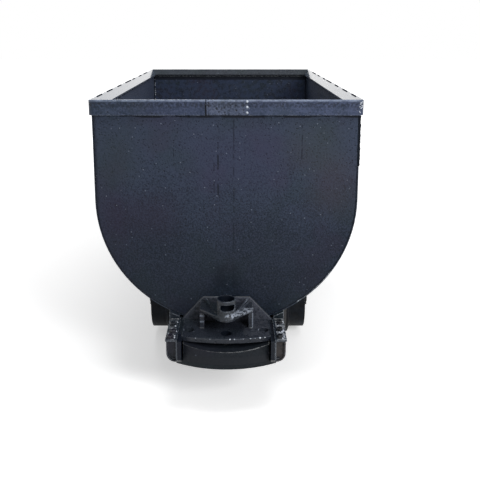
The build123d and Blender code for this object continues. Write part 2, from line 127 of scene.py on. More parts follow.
class Chart(Generic[Owner]):
    """Node tree of a material or world, written as nested calls that hand on sockets."""

    def __init__(self, owner: Owner, output: str = "ShaderNodeOutputMaterial") -> None:
        """Empties the tree.

        Args:
            owner: material or world that it belongs to.
            output: Blender's class name of its output node.
        """
        owner.use_nodes = True
        self.owner = owner
        self.tree = owner.node_tree
        self.tree.nodes.clear()
        self.output = self.node(output)

    @cached_property
    def place(self) -> Socket:
        """Place of the shaded point in the cart's frame."""
        return self.node("ShaderNodeTexCoord").outputs["Object"]

    def node(self, kind: str, inputs: dict[str | int, Input] | None = None, **settings: object) -> bpy.types.Node:
        """Adds a node.

        Args:
            kind: Blender's class name of the node.
            inputs: values or sockets for its inputs, by name or number.
            settings: attributes of the node.

        Returns:
            The new node.
        """
        made = self.tree.nodes.new(kind)
        for name, value in settings.items():
            setattr(made, name, value)
        for key, value in (inputs or {}).items():
            socket = made.inputs[key]
            if isinstance(value, Socket):
                self.tree.links.new(value, socket)
            elif socket.type == "RGBA":
                socket.default_value = (*value, 1.0)
            else:
                socket.default_value = value
        return made

    def math(self, operation: str, *values: Input) -> Socket:
        """Result of one of Blender's operations on numbers or sockets, from left to right."""
        return reduce(lambda a, b: self.node("ShaderNodeMath", {0: a, 1: b}, operation=operation).outputs[0], values)

    def sum(self, *values: Input) -> Socket:
        """Adds numbers or sockets."""
        return self.math("ADD", *values)

    def product(self, *values: Input) -> Socket:
        """Multiplies numbers or sockets."""
        return self.math("MULTIPLY", *values)

    def span(self, value: Socket, low: float, high: float, to_low: float = 0.0, to_high: float = 1.0) -> Socket:
        """Soft step from to_low to to_high as value goes from low to high, where high may be the smaller."""
        inputs = dict(enumerate((value, low, high, to_low, to_high)))
        return self.node("ShaderNodeMapRange", inputs, interpolation_type="SMOOTHSTEP").outputs[0]

    def mapped(self, shift: Point, scale: Point = (1.0, 1.0, 1.0)) -> Socket:
        """Place of the shaded point, scaled and then shifted."""
        return self.node("ShaderNodeMapping", {"Vector": self.place, "Location": shift, "Scale": scale}).outputs[0]

    def noise(self, size: float, detail: float = 2.0, roughness: float = 0.5, stretch: Point = (1, 1, 1),
              shift: float = 0.0) -> Socket:
        """Noise, about 0 to 1, of blotches of a given size that are stretched along X, Y and Z."""
        place = self.mapped((shift, shift, shift), tuple(1 / s for s in stretch))
        return self.node("ShaderNodeTexNoise", {0: place, 2: 1 / size, 3: detail, 4: roughness}).outputs[0]

    def spots(self, spacing: float, radius: float, shift: float = 0.0) -> Socket:
        """1 inside scattered round spots of up to a given radius, and 0 outside."""
        dots = self.node("ShaderNodeTexVoronoi", {"Vector": self.mapped((shift, 0.0, shift)), "Scale": 1 / spacing})
        return self.span(dots.outputs["Distance"], radius / spacing * 1.2, radius / spacing * 0.8)

    def mix(self, share: Input, first: Input, second: Input) -> Socket:
        """Colour that goes from first to second as share goes from 0 to 1."""
        return self.node("ShaderNodeMix", {0: share, 6: first, 7: second}, data_type="RGBA").outputs[2]

    def blend(self, share: Input, first: Socket, second: Socket) -> Socket:
        """Shader that goes from first to second as share goes from 0 to 1."""
        return self.node("ShaderNodeMixShader", {0: share, 1: first, 2: second}).outputs[0]

    def along(self, axis: int) -> Socket:
        """Coordinate of the shaded point along X, Y or Z, in metres."""
        return self.node("ShaderNodeSeparateXYZ", {0: self.place}).outputs[axis]

    def along_end(self, axis: int) -> Socket:
        """Coordinate in front coordinates, in which the rear half of the cart counts as turned round.

        Args:
            axis: 0, 1 or 2 for X, Y or Z.

        Returns:
            The coordinate in metres.
        """
        if axis == 2:
            return self.along(2)
        rear = self.node("ShaderNodeMath", {0: self.along(1)}, operation="SIGN").outputs[0]
        return self.product(self.along(axis), rear, -1.0)

    def inside(self, zone: Zone) -> Socket:
        """Share of a zone.

        Args:
            zone: the zone.

        Returns:
            1 inside it, and softly 0 outside.
        """
        shares: list[Input] = [1.0]
        for axis, (low, high) in enumerate((zone.x, zone.y, zone.z)):
            place = self.along_end(axis) if zone.both_ends else self.along(axis)
            if low is not None:
                shares.append(self.span(place, low - zone.soft, low + zone.soft))
            if high is not None:
                shares.append(self.span(place, high + zone.soft, high - zone.soft))
        return self.product(*shares)

    def inside_any(self, zones: Iterable[Zone]) -> Socket:
        """Share that is 1 inside any of some zones that don't overlap."""
        return self.sum(0.0, *(self.inside(zone) for zone in zones))

    def stained(self, colour: Socket, stains: Iterable[Stain]) -> Socket:
        """Lays stains over a colour, one after another.

        Args:
            colour: the colour.
            stains: the stains, the lowest first.

        Returns:
            The stained colour.
        """
        for stain in stains:
            share = self.product(self.inside(stain.zone), stain.share)
            if stain.grain:
                share = self.product(share, self.span(self.noise(stain.grain, shift=8.8), 0.42, 0.56))
            colour = self.mix(share, colour, stain.colour)
        return colour

    def facing(self, axis: int) -> Socket:
        """Component of the surface's own normal along X, Y or Z."""
        normal = self.node("ShaderNodeNewGeometry").outputs["True Normal"]
        return self.node("ShaderNodeSeparateXYZ", {0: normal}).outputs[axis]

    def edges(self, radius: float) -> Socket:
        """Marks edges by the angle between the surface and the same surface with rounded edges.

        Args:
            radius: how far the mark reaches from the edge, in metres.

        Returns:
            0 on flat surfaces, and about 1 on edges.
        """
        rounded = self.node("ShaderNodeBevel", {"Radius": radius}, samples=4).outputs[0]
        own = self.node("ShaderNodeNewGeometry").outputs["Normal"]
        cosine = self.node("ShaderNodeVectorMath", {0: rounded, 1: own}, operation="DOT_PRODUCT").outputs["Value"]
        return self.span(cosine, 0.995, 0.86)

    def bump(self, height: Socket, depth: float) -> Socket:
        """Normal of a surface whose height varies by depth, in metres."""
        return self.node("ShaderNodeBump", {"Height": height, "Distance": depth, "Strength": 1.0}).outputs[0]

    def seen(self) -> Socket:
        """1 for what the camera sees, directly or in a reflection, and 0 for all other light."""
        rays = self.node("ShaderNodeLightPath").outputs
        return self.math("MAXIMUM", rays["Is Camera Ray"], rays["Is Glossy Ray"])

    def finish(self, shader: Socket) -> Owner:
        """Joins the shader to the output and hands over the material or world."""
        self.tree.links.new(shader, self.output.inputs["Surface"])
        return self.owner


@dataclass(frozen=True)
class Paint:
    """Black paint over steel plate: mottled, speckled, flecked, lighter along its edges for wear and painted highlight.

    Sizes, spacings, radii, reaches and depths are in metres, and shares go from 0 to 1. Left and right are
    those of an end that is looked at from outside. Painted light can brighten the top and the right, and the
    painted edge highlight can be weaker on the left. The painted shade in the bore is given by the distance
    from the middle of the cart to its axis and by its radius.
    """

    name: str
    dark: Colour
    light: Colour
    green_share: float = 0.25
    purple_share: float = 0.25
    blotch_size: float = 0.16
    blotch_share: float = 0.35
    grain_size: float = 0.009
    fleck_spacing: float = 0.036
    fleck_radius: float = 0.0030
    fleck_share: float = 0.5
    fleck: Colour = (0.24, 0.28, 0.36)
    pit_spacing: float = 0.016
    pit_radius: float = 0.0036
    pit_share: float = 0.6
    # Edge colour, share and reach stand for wear and for painted highlights; the share is scaled on the left.
    wear_and_highlight: Colour = (0.20, 0.24, 0.28)
    wear_and_highlight_share: float = 0.6
    left_wear_and_highlight: float = 1.0
    wear_and_highlight_reach: float = 0.004
    # Painted light toward the top and toward the right.
    painted_light_up: float = 0.0
    painted_light_right: float = 0.0
    rough_low: float = 0.34
    rough_high: float = 0.60
    peel_depth: float = 0.0008
    specular: float = 0.2
    # Polished zones take a bluish base colour that paints the tint of their reflection.
    polished: tuple[Zone, ...] = ()
    gloss: Colour = (0.10, 0.15, 0.24)
    gritty_top: float = 0.0
    stains: tuple[Stain, ...] = ()
    burnt: tuple[Zone, ...] = ()
    # Painted shade in the bore.
    bore_shade: tuple[float, float] | None = None

    GREEN: ClassVar[Colour] = (0.018, 0.032, 0.034)
    PURPLE: ClassVar[Colour] = (0.034, 0.024, 0.050)
    # The pit colour also paints the shade in the bore.
    PIT_AND_BORE_SHADE: ClassVar[Colour] = (0.003, 0.005, 0.010)
    BURNT: ClassVar[Colour] = (0.020, 0.026, 0.040)

    def make(self) -> Material:
        """Builds the material.

        Returns:
            The material.
        """
        chart = Chart(bpy.data.materials.new(self.name))
        grain = chart.noise(self.grain_size, roughness=0.6, shift=1.7)
        fine = chart.noise(self.grain_size * 0.6, detail=1.0, shift=6.1)
        flecks = chart.spots(self.fleck_spacing, self.fleck_radius)
        pits = chart.spots(self.pit_spacing, self.pit_radius, shift=3.0)
        colour = self._colour(chart, grain, fine, flecks, pits)
        patches = chart.noise(self.grain_size, detail=3.0, roughness=0.6, shift=4.2)
        rough = chart.span(patches, 0.3, 0.7, self.rough_low, self.rough_high)
        relief = chart.sum(chart.product(grain, 0.7), chart.product(fine, 0.4), chart.product(flecks, 0.8),
                           chart.product(pits, -0.8))
        if self.gritty_top:
            up = chart.product(chart.span(chart.facing(2), 0.9, 0.98), self.gritty_top)
            relief = chart.sum(relief, chart.product(chart.noise(0.009, shift=9.1), up, 4.0))
        normal = chart.bump(relief, self.peel_depth)
        shader = chart.node("ShaderNodeBsdfPrincipled", {
            "Base Color": colour, "Roughness": rough, "Normal": normal,
            "Specular IOR Level": self.specular}).outputs[0]
        if self.polished:
            # The polished zones' base colour takes a bluish tint that paints their reflection.
            hard = chart.node("ShaderNodeBsdfPrincipled", {
                "Base Color": chart.mix(0.5, colour, self.gloss), "Roughness": chart.product(rough, 0.4),
                "Normal": normal, "Specular IOR Level": 0.8, "Coat Weight": 1.0, "Coat Roughness": 0.04,
                "Coat IOR": 1.8}).outputs[0]
            shader = chart.blend(chart.inside_any(self.polished), shader, hard)
        if self.burnt:
            scale = chart.node("ShaderNodeBsdfDiffuse", {"Color": self.BURNT}).outputs[0]
            shader = chart.blend(chart.inside_any(self.burnt), shader, scale)
        # Painted shade inside the upright bore.
        if self.bore_shade:
            shade = chart.node("ShaderNodeBsdfDiffuse", {"Color": self.PIT_AND_BORE_SHADE}).outputs[0]
            shader = chart.blend(self._in_bore(chart, *self.bore_shade), shader, shade)
        return chart.finish(shader)

    def _colour(self, chart: Chart, grain: Socket, fine: Socket, flecks: Socket, pits: Socket) -> Socket:
        """Colour of the paint.

        Args:
            chart: chart to build in.
            grain: coarse grain.
            fine: fine grain.
            flecks: 1 on the light flecks.
            pits: 1 in the dark pits.

        Returns:
            The colour.
        """
        blotches = chart.span(chart.noise(self.blotch_size, detail=4.0, roughness=0.62), 0.34, 0.68)
        shade = chart.sum(chart.product(blotches, self.blotch_share),
                          chart.product(chart.span(grain, 0.38, 0.64), 0.62 * (1 - self.blotch_share)),
                          chart.product(chart.span(fine, 0.30, 0.70), 0.38 * (1 - self.blotch_share)))
        # Painted light: lighter toward the top and toward the right.
        if self.painted_light_up:
            shade = chart.sum(shade, chart.span(chart.along(2), 0.35, 1.2, -0.1 * self.painted_light_up,
                                                self.painted_light_up))
        if self.painted_light_right:
            shade = chart.sum(shade, chart.span(chart.along_end(0), -0.5, 0.5, 0.0, self.painted_light_right))
        colour = chart.mix(shade, self.dark, self.light)
        for tint, share, shift in ((self.GREEN, self.green_share, 2.9), (self.PURPLE, self.purple_share, 7.3)):
            patch = chart.span(chart.noise(0.21, shift=shift), 0.50, 0.66, 0.0, share)
            colour = chart.mix(patch, colour, tint)
        colour = chart.mix(chart.product(pits, chart.span(fine, 0.35, 0.6), self.pit_share), colour, self.PIT_AND_BORE_SHADE)
        some = chart.span(chart.noise(0.05, detail=1.0, shift=5.0), 0.44, 0.58)
        colour = chart.mix(chart.product(flecks, some, self.fleck_share), colour, self.fleck)
        # Edges lighter for wear and painted highlight, less so on the left.
        edge_wear_and_highlight = chart.product(chart.edges(self.wear_and_highlight_reach),
                               chart.span(chart.noise(0.018, detail=4.0, roughness=0.7, shift=2.4), 0.36, 0.64),
                               self.wear_and_highlight_share,
                               chart.span(chart.along_end(0), -0.06, 0.06, self.left_wear_and_highlight, 1.0))
        return chart.stained(chart.mix(edge_wear_and_highlight, colour, self.wear_and_highlight), self.stains)

    @staticmethod
    def _in_bore(chart: Chart, distance: float, radius: float) -> Socket:
        """Share of the inside of the upright bore at each end, where shade is painted.

        Args:
            chart: chart to build in.
            distance: distance from the middle of the cart to the bore's axis.
            radius: its radius.

        Returns:
            Nearly 1 inside it, and 0 outside.
        """
        flat = chart.node("ShaderNodeCombineXYZ", {0: chart.along(0), 1: chart.sum(chart.along_end(1), distance)})
        reach = chart.node("ShaderNodeVectorMath", {0: flat.outputs[0]}, operation="LENGTH").outputs["Value"]
        return chart.span(reach, radius + 3 * MM, radius + 1 * MM, 0.0, 0.85)


@dataclass(frozen=True)
class CastIron:
    """Painted casting: pitted skin, dull, dusty, lighter along its edges for wear and painted highlight."""

    name: str = "wheel_iron"
    dark: Colour = (0.002, 0.003, 0.005)
    light: Colour = (0.010, 0.013, 0.018)
    dust: Colour = (0.055, 0.047, 0.040)
    wear_and_highlight: Colour = (0.16, 0.16, 0.16)
    pit_size: float = 0.004
    pit_depth: float = 0.0009
    roughness: tuple[float, float] = (0.42, 0.70)
    specular: float = 0.12

    def make(self) -> Material:
        """Builds the material.

        Returns:
            The material.
        """
        chart = Chart(bpy.data.materials.new(self.name))
        skin = chart.noise(self.pit_size, detail=4.0, roughness=0.6)
        blotches = chart.span(chart.noise(0.05, detail=4.0, roughness=0.6), 0.35, 0.7)
        colour = chart.mix(blotches, self.dark, self.light)
        dusty = chart.product(chart.span(chart.noise(0.03, detail=5.0, roughness=0.7, shift=2.0), 0.5, 0.75), 0.15)
        colour = chart.mix(dusty, colour, self.dust)
        # Edges lighter for wear and painted highlight.
        edge_wear_and_highlight = chart.product(chart.edges(0.004), chart.span(skin, 0.4, 0.6), 0.4)
        colour = chart.mix(edge_wear_and_highlight, colour, self.wear_and_highlight)
        return chart.finish(chart.node("ShaderNodeBsdfPrincipled", {
            "Base Color": colour, "Roughness": chart.span(skin, 0.3, 0.7, *self.roughness),
            "Normal": chart.bump(skin, self.pit_depth), "Specular IOR Level": self.specular}).outputs[0])


@dataclass(frozen=True)
class TurnedSteel:
    """Bare dark steel with the fine rings that turning leaves round its axis, and a little rust."""

    name: str = "axle_steel"
    dark: Colour = (0.030, 0.029, 0.028)
    light: Colour = (0.085, 0.080, 0.074)
    rust: Colour = (0.090, 0.040, 0.018)
    ring_width: float = 0.002
    ring_depth: float = 0.0002
    roughness: tuple[float, float] = (0.32, 0.55)

    def make(self) -> Material:
        """Builds the material.

        Returns:
            The material.
        """
        chart = Chart(bpy.data.materials.new(self.name))
        rings = chart.noise(self.ring_width, stretch=(1, 40, 40))
        stain = chart.span(chart.noise(0.03, detail=4.0, roughness=0.65), 0.35, 0.7)
        colour = chart.mix(stain, self.dark, self.light)
        rusty = chart.product(chart.span(chart.noise(0.02, detail=5.0, roughness=0.7, shift=3.0), 0.55, 0.72), 0.6)
        colour = chart.mix(rusty, colour, self.rust)
        return chart.finish(chart.node("ShaderNodeBsdfPrincipled", {
            "Base Color": colour, "Roughness": chart.span(rings, 0.3, 0.7, *self.roughness), "Metallic": 0.7,
            "Normal": chart.bump(rings, self.ring_depth)}).outputs[0])


@dataclass(frozen=True)
class PaintedWeld:
    """Weld metal under the paint: ripples with light crests where the paint wears."""

    name: str
    dark: Colour
    light: Colour
    crest_share: float = 0.5
    specular: float = 0.5
    coat: float = 0.3

    def make(self) -> Material:
        """Builds the material.

        Returns:
            The material.
        """
        chart = Chart(bpy.data.materials.new(self.name))
        grain = chart.noise(0.005, detail=3.0, roughness=0.6)
        patches = chart.span(chart.noise(0.035, shift=6.0), 0.35, 0.65)
        crests = chart.product(chart.span(grain, 0.35, 0.65), patches, self.crest_share)
        return chart.finish(chart.node("ShaderNodeBsdfPrincipled", {
            "Base Color": chart.mix(crests, self.dark, self.light),
            "Roughness": chart.span(grain, 0.3, 0.7, 0.28, 0.52), "Normal": chart.bump(grain, 0.0006),
            "Specular IOR Level": self.specular, "Coat Weight": self.coat, "Coat Roughness": 0.25}).outputs[0])


@dataclass(frozen=True)
class BurntScale:
    """Matt scale on unpainted stitch welds."""

    name: str = "rim_stitch_scale"
    dark: Colour = (0.010, 0.014, 0.022)
    light: Colour = (0.040, 0.048, 0.066)

    def make(self) -> Material:
        """Builds the material.

        Returns:
            The material.
        """
        chart = Chart(bpy.data.materials.new(self.name))
        grain = chart.noise(0.006, detail=3.0, roughness=0.6)
        return chart.finish(chart.node("ShaderNodeBsdfDiffuse", {
            "Color": chart.mix(chart.span(grain, 0.35, 0.65), self.dark, self.light),
            "Normal": chart.bump(grain, 0.0006)}).outputs[0])


class Finishes:
    """Every finish of the cart, each built once and named after what it covers."""

    # Near black for dark marks and for painted shade.
    INK: ClassVar[Colour] = (0.004, 0.006, 0.012)
    # Pale colour of the painted sheen on the sills.
    PAINTED_SHEEN: ClassVar[Colour] = (0.45, 0.48, 0.52)
    FRONT_FACE: ClassVar[Span] = (None, -0.9)
    REAR_FACE: ClassVar[Span] = (0.9, 0.985)
    RIM_FACE: ClassVar[float] = -1.0

    def __init__(self) -> None:
        """Builds the materials, from the tub down to the bolts."""
        self._paint_tub()
        self._paint_rim()
        self._paint_frame()
        self._paint_heads()
        self._finish_wheels_and_welds()

    def _paint_tub(self) -> None:
        """Finishes of the end plates and the shell."""
        # Both end plates get painted light toward the top.
        plate = Paint("end_plate_paint", (0.001, 0.003, 0.006), (0.035, 0.046, 0.076), painted_light_up=0.48,
                      blotch_share=0.20, pit_spacing=0.0115, pit_radius=0.0030, pit_share=0.85, fleck_spacing=0.025,
                      fleck_radius=0.0024, fleck_share=0.6, specular=0.14, grain_size=0.0072)
        self.plate = {End.FRONT: replace(plate, stains=self._front_plate_marks()).make(),
                      End.REAR: replace(plate, name="rear_plate_paint", painted_light_up=0.1, pit_share=0.4,
                                        stains=self._rear_plate_marks()).make()}
        lit_wall = Zone(x=(-0.5140, -0.3), z=(0.8, None), soft=0.0008)
        self.shell = Paint("tub_shell_paint", (0.006, 0.013, 0.027), (0.044, 0.057, 0.094), purple_share=0.15,
                           fleck_share=0.4, wear_and_highlight_share=0.25,
                           stains=(Stain(lit_wall, (0.085, 0.105, 0.165), 0.5),)).make()

    def _paint_rim(self) -> None:
        """Finishes of the rim's bars and of the insert."""
        # Painted light toward the right, and edges lighter for wear and painted highlight.
        rim = Paint("rim_front_paint", (0.006, 0.014, 0.032), (0.054, 0.070, 0.124), purple_share=0.1,
                    blotch_size=0.07, fleck_share=0.4, rough_low=0.26, rough_high=0.44, wear_and_highlight_share=0.7,
                    wear_and_highlight=(0.34, 0.38, 0.46), painted_light_right=0.35, stains=self._rim_marks(), burnt=self._rim_burns())
        self.rim_front = rim.make()
        # The rear bar's stain paints shade on its lower inner part, under the lip.
        self.rim_rear = replace(rim, name="rim_rear_paint", dark=(0.008, 0.012, 0.018), light=(0.040, 0.050, 0.066),
                                wear_and_highlight=(0.16, 0.18, 0.20),
                                stains=(Stain(Zone(z=(None, 1.193), soft=0.002), self.INK, 0.85),)).make()
        bevels = tuple(Zone(x, z=(1.190, None), soft=0.0006) for x in ((-0.5226, -0.4), (0.4, 0.5226)))
        self.rim_side = replace(rim, name="rim_side_paint", dark=(0.008, 0.016, 0.032), light=(0.056, 0.070, 0.118),
                                polished=bevels, peel_depth=0.0005).make()
        self.insert = replace(rim, name="rim_insert_paint", dark=(0.016, 0.026, 0.050), light=(0.100, 0.120, 0.185),
                              pit_spacing=0.013, pit_radius=0.0044, pit_share=0.9, burnt=()).make()

    def _paint_frame(self) -> None:
        """Finishes of the sills, the saddles and the stops."""
        # Painted sheen on the sills' upper flanges in front of the tub, stronger on the right.
        sill_top_sheen = tuple(Stain(Zone(x, (None, -1.009), (0.3312, None), 0.001, True), self.PAINTED_SHEEN, share, 0.012)
                       for x, share in (((0.196, 0.26), 0.6), ((-0.26, -0.196), 0.22)))
        # Frame, saddles and stops: edges lighter for wear and painted highlight, less so on the left.
        self.frame = Paint("frame_paint", (0.004, 0.008, 0.014), (0.020, 0.028, 0.042), purple_share=0.1,
                           wear_and_highlight=(0.40, 0.44, 0.50), wear_and_highlight_share=0.8, left_wear_and_highlight=0.6, rough_low=0.22, rough_high=0.42,
                           specular=0.4, gritty_top=0.3, stains=sill_top_sheen).make()
        self.saddle = Paint("saddle_paint", (0.003, 0.005, 0.009), (0.012, 0.017, 0.026), purple_share=0.1,
                            wear_and_highlight=(0.55, 0.60, 0.68), wear_and_highlight_share=1.0, left_wear_and_highlight=0.5).make()
        dusty = Stain(Zone((0.0, None), (None, 0.0), both_ends=True), (0.060, 0.052, 0.050), 0.7, 0.03)
        self.cap = Paint("sill_cap_paint", (0.005, 0.007, 0.010), (0.018, 0.022, 0.027), green_share=0.0,
                         wear_and_highlight=(0.50, 0.52, 0.58), wear_and_highlight_share=1.0, left_wear_and_highlight=0.35, stains=(dusty,)).make()

    def _paint_heads(self) -> None:
        """Finishes of the coupling heads."""
        # Painted light toward the right, and edges lighter for wear and painted highlight, much less so on the left.
        head = Paint("head_paint", (0.005, 0.007, 0.012), (0.034, 0.040, 0.054), purple_share=0.1,
                     wear_and_highlight=(0.30, 0.34, 0.42), wear_and_highlight_share=0.8, left_wear_and_highlight=0.25, wear_and_highlight_reach=0.003, rough_low=0.24,
                     rough_high=0.44, specular=0.30, peel_depth=0.0010, painted_light_right=0.35)
        self.head = replace(head, stains=self._head_marks(), bore_shade=(1.117, 0.020)).make()
        shaded = tuple(Stain(Zone(x, (None, -1.12), both_ends=True), self.INK, share)
                       for x, share in (((None, 0.0), 0.75), ((0.0, None), 0.35)))
        self.cheek = replace(head, name="cheek_paint", wear_and_highlight_share=0.45, wear_and_highlight_reach=0.002, light=(0.012, 0.015, 0.021),
                             painted_light_right=0.5, specular=0.15, stains=shaded).make()
        self.guide = replace(head, name="guide_paint", light=(0.022, 0.027, 0.037), peel_depth=0.0022,
                             wear_and_highlight_reach=0.006, left_wear_and_highlight=0.35, stains=self._guide_marks(),
                             bore_shade=(1.117, 0.030)).make()
        block = Paint("block_paint", (0.002, 0.004, 0.006), (0.011, 0.014, 0.019), green_share=0.1, purple_share=0.1,
                      fleck_share=0.2, pit_share=0.25, wear_and_highlight=(0.48, 0.49, 0.50), wear_and_highlight_share=1.0, left_wear_and_highlight=0.3,
                      wear_and_highlight_reach=0.005, rough_low=0.44, specular=0.15, peel_depth=0.0005,
                      stains=(Stain(Zone(z=(None, 0.262)), (0.010, 0.012, 0.016), 1.0),))
        self.block = block.make()
        self.foot = replace(block, name="foot_paint", wear_and_highlight_share=0.0, stains=()).make()

    def _finish_wheels_and_welds(self) -> None:
        """Finishes of the wheelsets, the welds, the spatter and the bolts."""
        self.wheel = CastIron().make()
        self.steel = TurnedSteel().make()
        self.weld = PaintedWeld("weld_paint", (0.006, 0.010, 0.016), (0.12, 0.14, 0.17), 0.35).make()
        # Pale weld finish that paints the highlight on a lit stretch of the end plates' welds.
        self.highlight_weld = PaintedWeld("weld_highlight_paint", (0.02, 0.03, 0.04), (0.50, 0.55, 0.62), 0.8).make()
        self.plate_weld = PaintedWeld("plate_weld_paint", (0.004, 0.006, 0.011), (0.020, 0.027, 0.040), 0.4,
                                      specular=0.08, coat=0.0).make()
        self.dark_weld = BurntScale().make()
        # Near-white finish of the drops, which paints their glints.
        self.spatter = PaintedWeld("spatter_glint_paint", (0.40, 0.44, 0.52), (0.85, 0.90, 0.95), 0.8).make()
        self.bolt = Paint("bolt_paint", (0.002, 0.003, 0.005), (0.010, 0.012, 0.016), wear_and_highlight=(0.30, 0.34, 0.38),
                          wear_and_highlight_share=0.35, left_wear_and_highlight=0.5, wear_and_highlight_reach=0.0015, rough_low=0.20, rough_high=0.36,
                          specular=0.3).make()

    @classmethod
    def _front_plate_marks(cls) -> tuple[Stain, ...]:
        """Marks on the front end plate.

        Returns:
            Hues, streaks, a dark patch above the coupling head, painted shade along the left edge and under the rim
            band, and painted shade toward the bottom.
        """
        hues = (
            # across, up, colour, share
            ((-0.15, 0.20), (0.88, 1.10), (0.034, 0.034, 0.072), 0.30),
            ((-0.48, -0.20), (0.68, 0.84), (0.024, 0.016, 0.034), 0.40),
            ((0.34, 0.50), (0.78, 1.00), (0.042, 0.034, 0.042), 0.40),
            ((0.25, 0.44), (0.96, 1.13), (0.034, 0.042, 0.042), 0.40),
            ((-0.50, -0.36), (0.90, 1.10), (0.024, 0.034, 0.036), 0.40),
        )
        streaks = (
            # place across the cart, lower end, upper end, half width, share
            (-0.205, 0.970, 1.140, 0.0024, 0.75),
            (-0.032, 0.810, 1.130, 0.0030, 0.90),
            (-0.048, 0.860, 0.980, 0.0020, 0.60),
            (0.029, 0.450, 1.147, 0.0030, 0.55),
            (0.295, 0.990, 1.130, 0.0022, 0.70),
        )
        face = cls.FRONT_FACE
        return (*(Stain(Zone(x, face, z, 0.07), tint, share) for x, z, tint, share in hues),
                *(Stain(Zone((x - half, x + half), face, (low, high), 0.0014), cls.INK, share, 0.03)
                  for x, low, high, half, share in streaks),
                Stain(Zone((-0.046, 0.042), face, (0.426, 0.556), 0.02), cls.INK, 0.6, 0.05),
                # Painted shade along the left edge, under the rim band and toward the bottom.
                Stain(Zone((None, -0.503), face, (0.60, None), 0.003), cls.INK, 0.45),
                Stain(Zone(y=face, z=(1.155, None), soft=0.003), cls.INK, 1.0, 0.10),
                Stain(Zone(y=face, z=(None, 0.72), soft=0.28), (0.005, 0.009, 0.016), 0.7))

    @classmethod
    def _rear_plate_marks(cls) -> tuple[Stain, ...]:
        """Bluer inner face of the rear end plate, with a band of painted shade under the rim."""
        return (Stain(Zone(y=cls.REAR_FACE, z=(0.9, 1.155), soft=0.002), (0.030, 0.044, 0.086), 0.55, 0.03),
                Stain(Zone(y=cls.REAR_FACE, z=(1.157, None), soft=0.003), cls.INK, 0.9))

    @classmethod
    def _rim_marks(cls) -> tuple[Stain, ...]:
        """Marks on the front band.

        Returns:
            The insert's dark seam, dark flecks, and a painted highlight along the top edge.
        """
        face: Span = (None, -0.99)
        # Painted highlight along the band's top edge.
        line = Zone(y=face, z=(1.2185, None), soft=0.002)
        edge_wear_and_highlight = (0.26, 0.31, 0.42)
        return (Stain(Zone(x=(-0.0810, -0.0745), y=face, soft=0.0008), cls.INK, 0.9),
                Stain(Zone(y=face, z=(1.196, 1.216)), cls.INK, 0.6, 0.010),
                Stain(line, edge_wear_and_highlight, 0.26),
                Stain(line, edge_wear_and_highlight, 0.35, 0.03))

    @classmethod
    def _rim_burns(cls) -> tuple[Zone, ...]:
        """Burnt scale beside the stitch welds.

        Returns:
            Zones along the outer top edges of the side bars and the rear bar.
        """
        zones = []
        for centre, length in SIDE_STITCHES:
            y = (cls.RIM_FACE + centre - length / 2, cls.RIM_FACE + centre + length / 2)
            zones += [Zone(x, y, (1.2195, None), 0.0008) for x in ((0.5190, None), (None, -0.5190))]
        zones += [Zone(x, (0.9, None), (1.2205, None), 0.0012) for x in REAR_STITCHES]
        return tuple(zones)

    @classmethod
    def _head_marks(cls) -> tuple[Stain, ...]:
        """Marks on the plates and posts of each coupling head.

        Returns:
            Painted shade on the top plate's front face and top, a lighter back plate, painted light on the right,
            then painted highlights beside the side holes and on the posts.
        """
        # Colour of the painted highlights.
        light = (0.34, 0.39, 0.48)
        spots = (
            # across, along, up, share
            ((-0.171, -0.158), (-1.092, -1.080), (0.320, 0.330), 0.7),
            ((0.126, 0.138), (-1.090, -1.078), (0.320, 0.330), 0.7),
            ((-0.108, -0.086), (-1.074, -1.060), (0.372, 0.379), 0.5),
            ((-0.108, -0.086), (-1.074, -1.060), (0.348, 0.354), 0.5),
            ((0.102, 0.108), (-1.074, -1.050), (0.326, 0.388), 0.5),
        )
        return (
            # Painted shade on the top plate's front face and in the gap under it.
            Stain(Zone(y=(None, -1.13), z=(0.290, 0.3222), soft=0.001, both_ends=True), (0.006, 0.009, 0.016), 0.65),
            Stain(Zone(y=(-1.001, None), z=(0.330, None), both_ends=True), (0.056, 0.062, 0.080), 0.8, 0.014),
            # Painted light on the right of the back plate.
            Stain(Zone((0.03, None), (-1.001, None), (0.330, None), 0.02, True), (0.085, 0.090, 0.120), 0.6, 0.010),
            # Painted shade on the top plate's top face.
            Stain(Zone(y=(-1.15, -1.003), z=(0.320, 0.330), both_ends=True), cls.INK, 0.35),
            # Painted light on the right of the top plate's top face.
            Stain(Zone((0.07, None), (-1.140, -1.003), (0.320, 0.330), 0.012, True), (0.090, 0.096, 0.115), 0.5, 0.010),
            # Painted highlights.
            *(Stain(Zone(x, y, z, 0.002, True), light, share) for x, y, z, share in spots))

    @staticmethod
    def _guide_marks() -> tuple[Stain, ...]:
        """Marks on each pin guide.

        Returns:
            Painted highlights, most of them on its right.
        """
        bright = (0.42, 0.47, 0.56)
        spots = (
            # across, along, up, share
            ((-0.002, 0.036), (-1.165, -1.118), (0.400, 0.418), 0.70),
            ((0.030, 0.072), (-1.140, -1.092), (0.398, 0.412), 0.55),
            ((0.066, 0.110), (-1.110, -1.060), (0.396, 0.412), 0.50),
            ((0.018, 0.088), (-1.080, -1.000), (0.420, 0.470), 0.40),
            ((-0.080, -0.040), (-1.012, -0.990), (0.412, 0.430), 0.40),
        )
        return tuple(Stain(Zone(x, y, z, 0.006, True), bright, share, 0.010) for x, y, z, share in spots)


# --- Meshes ---


def ring(mesh: Mesh, centre: Vector, axis: Vector, radius: float, sides: int, turn: float = 0.0) -> Corners:
    """Adds the corners of a polygon.

    Args:
        mesh: mesh to add to.
        centre: middle of the polygon.
        axis: direction that it faces.
        radius: distance of its corners from its middle.
        sides: number of its sides.
        turn: rotation about the axis in radians.

    Returns:
        The corners.
    """
    across = axis.orthogonal().normalized()
    other = axis.cross(across)
    angles = (turn + 2 * pi * k / sides for k in range(sides))
    return [mesh.verts.new(centre + across * radius * cos(a) + other * radius * sin(a)) for a in angles]


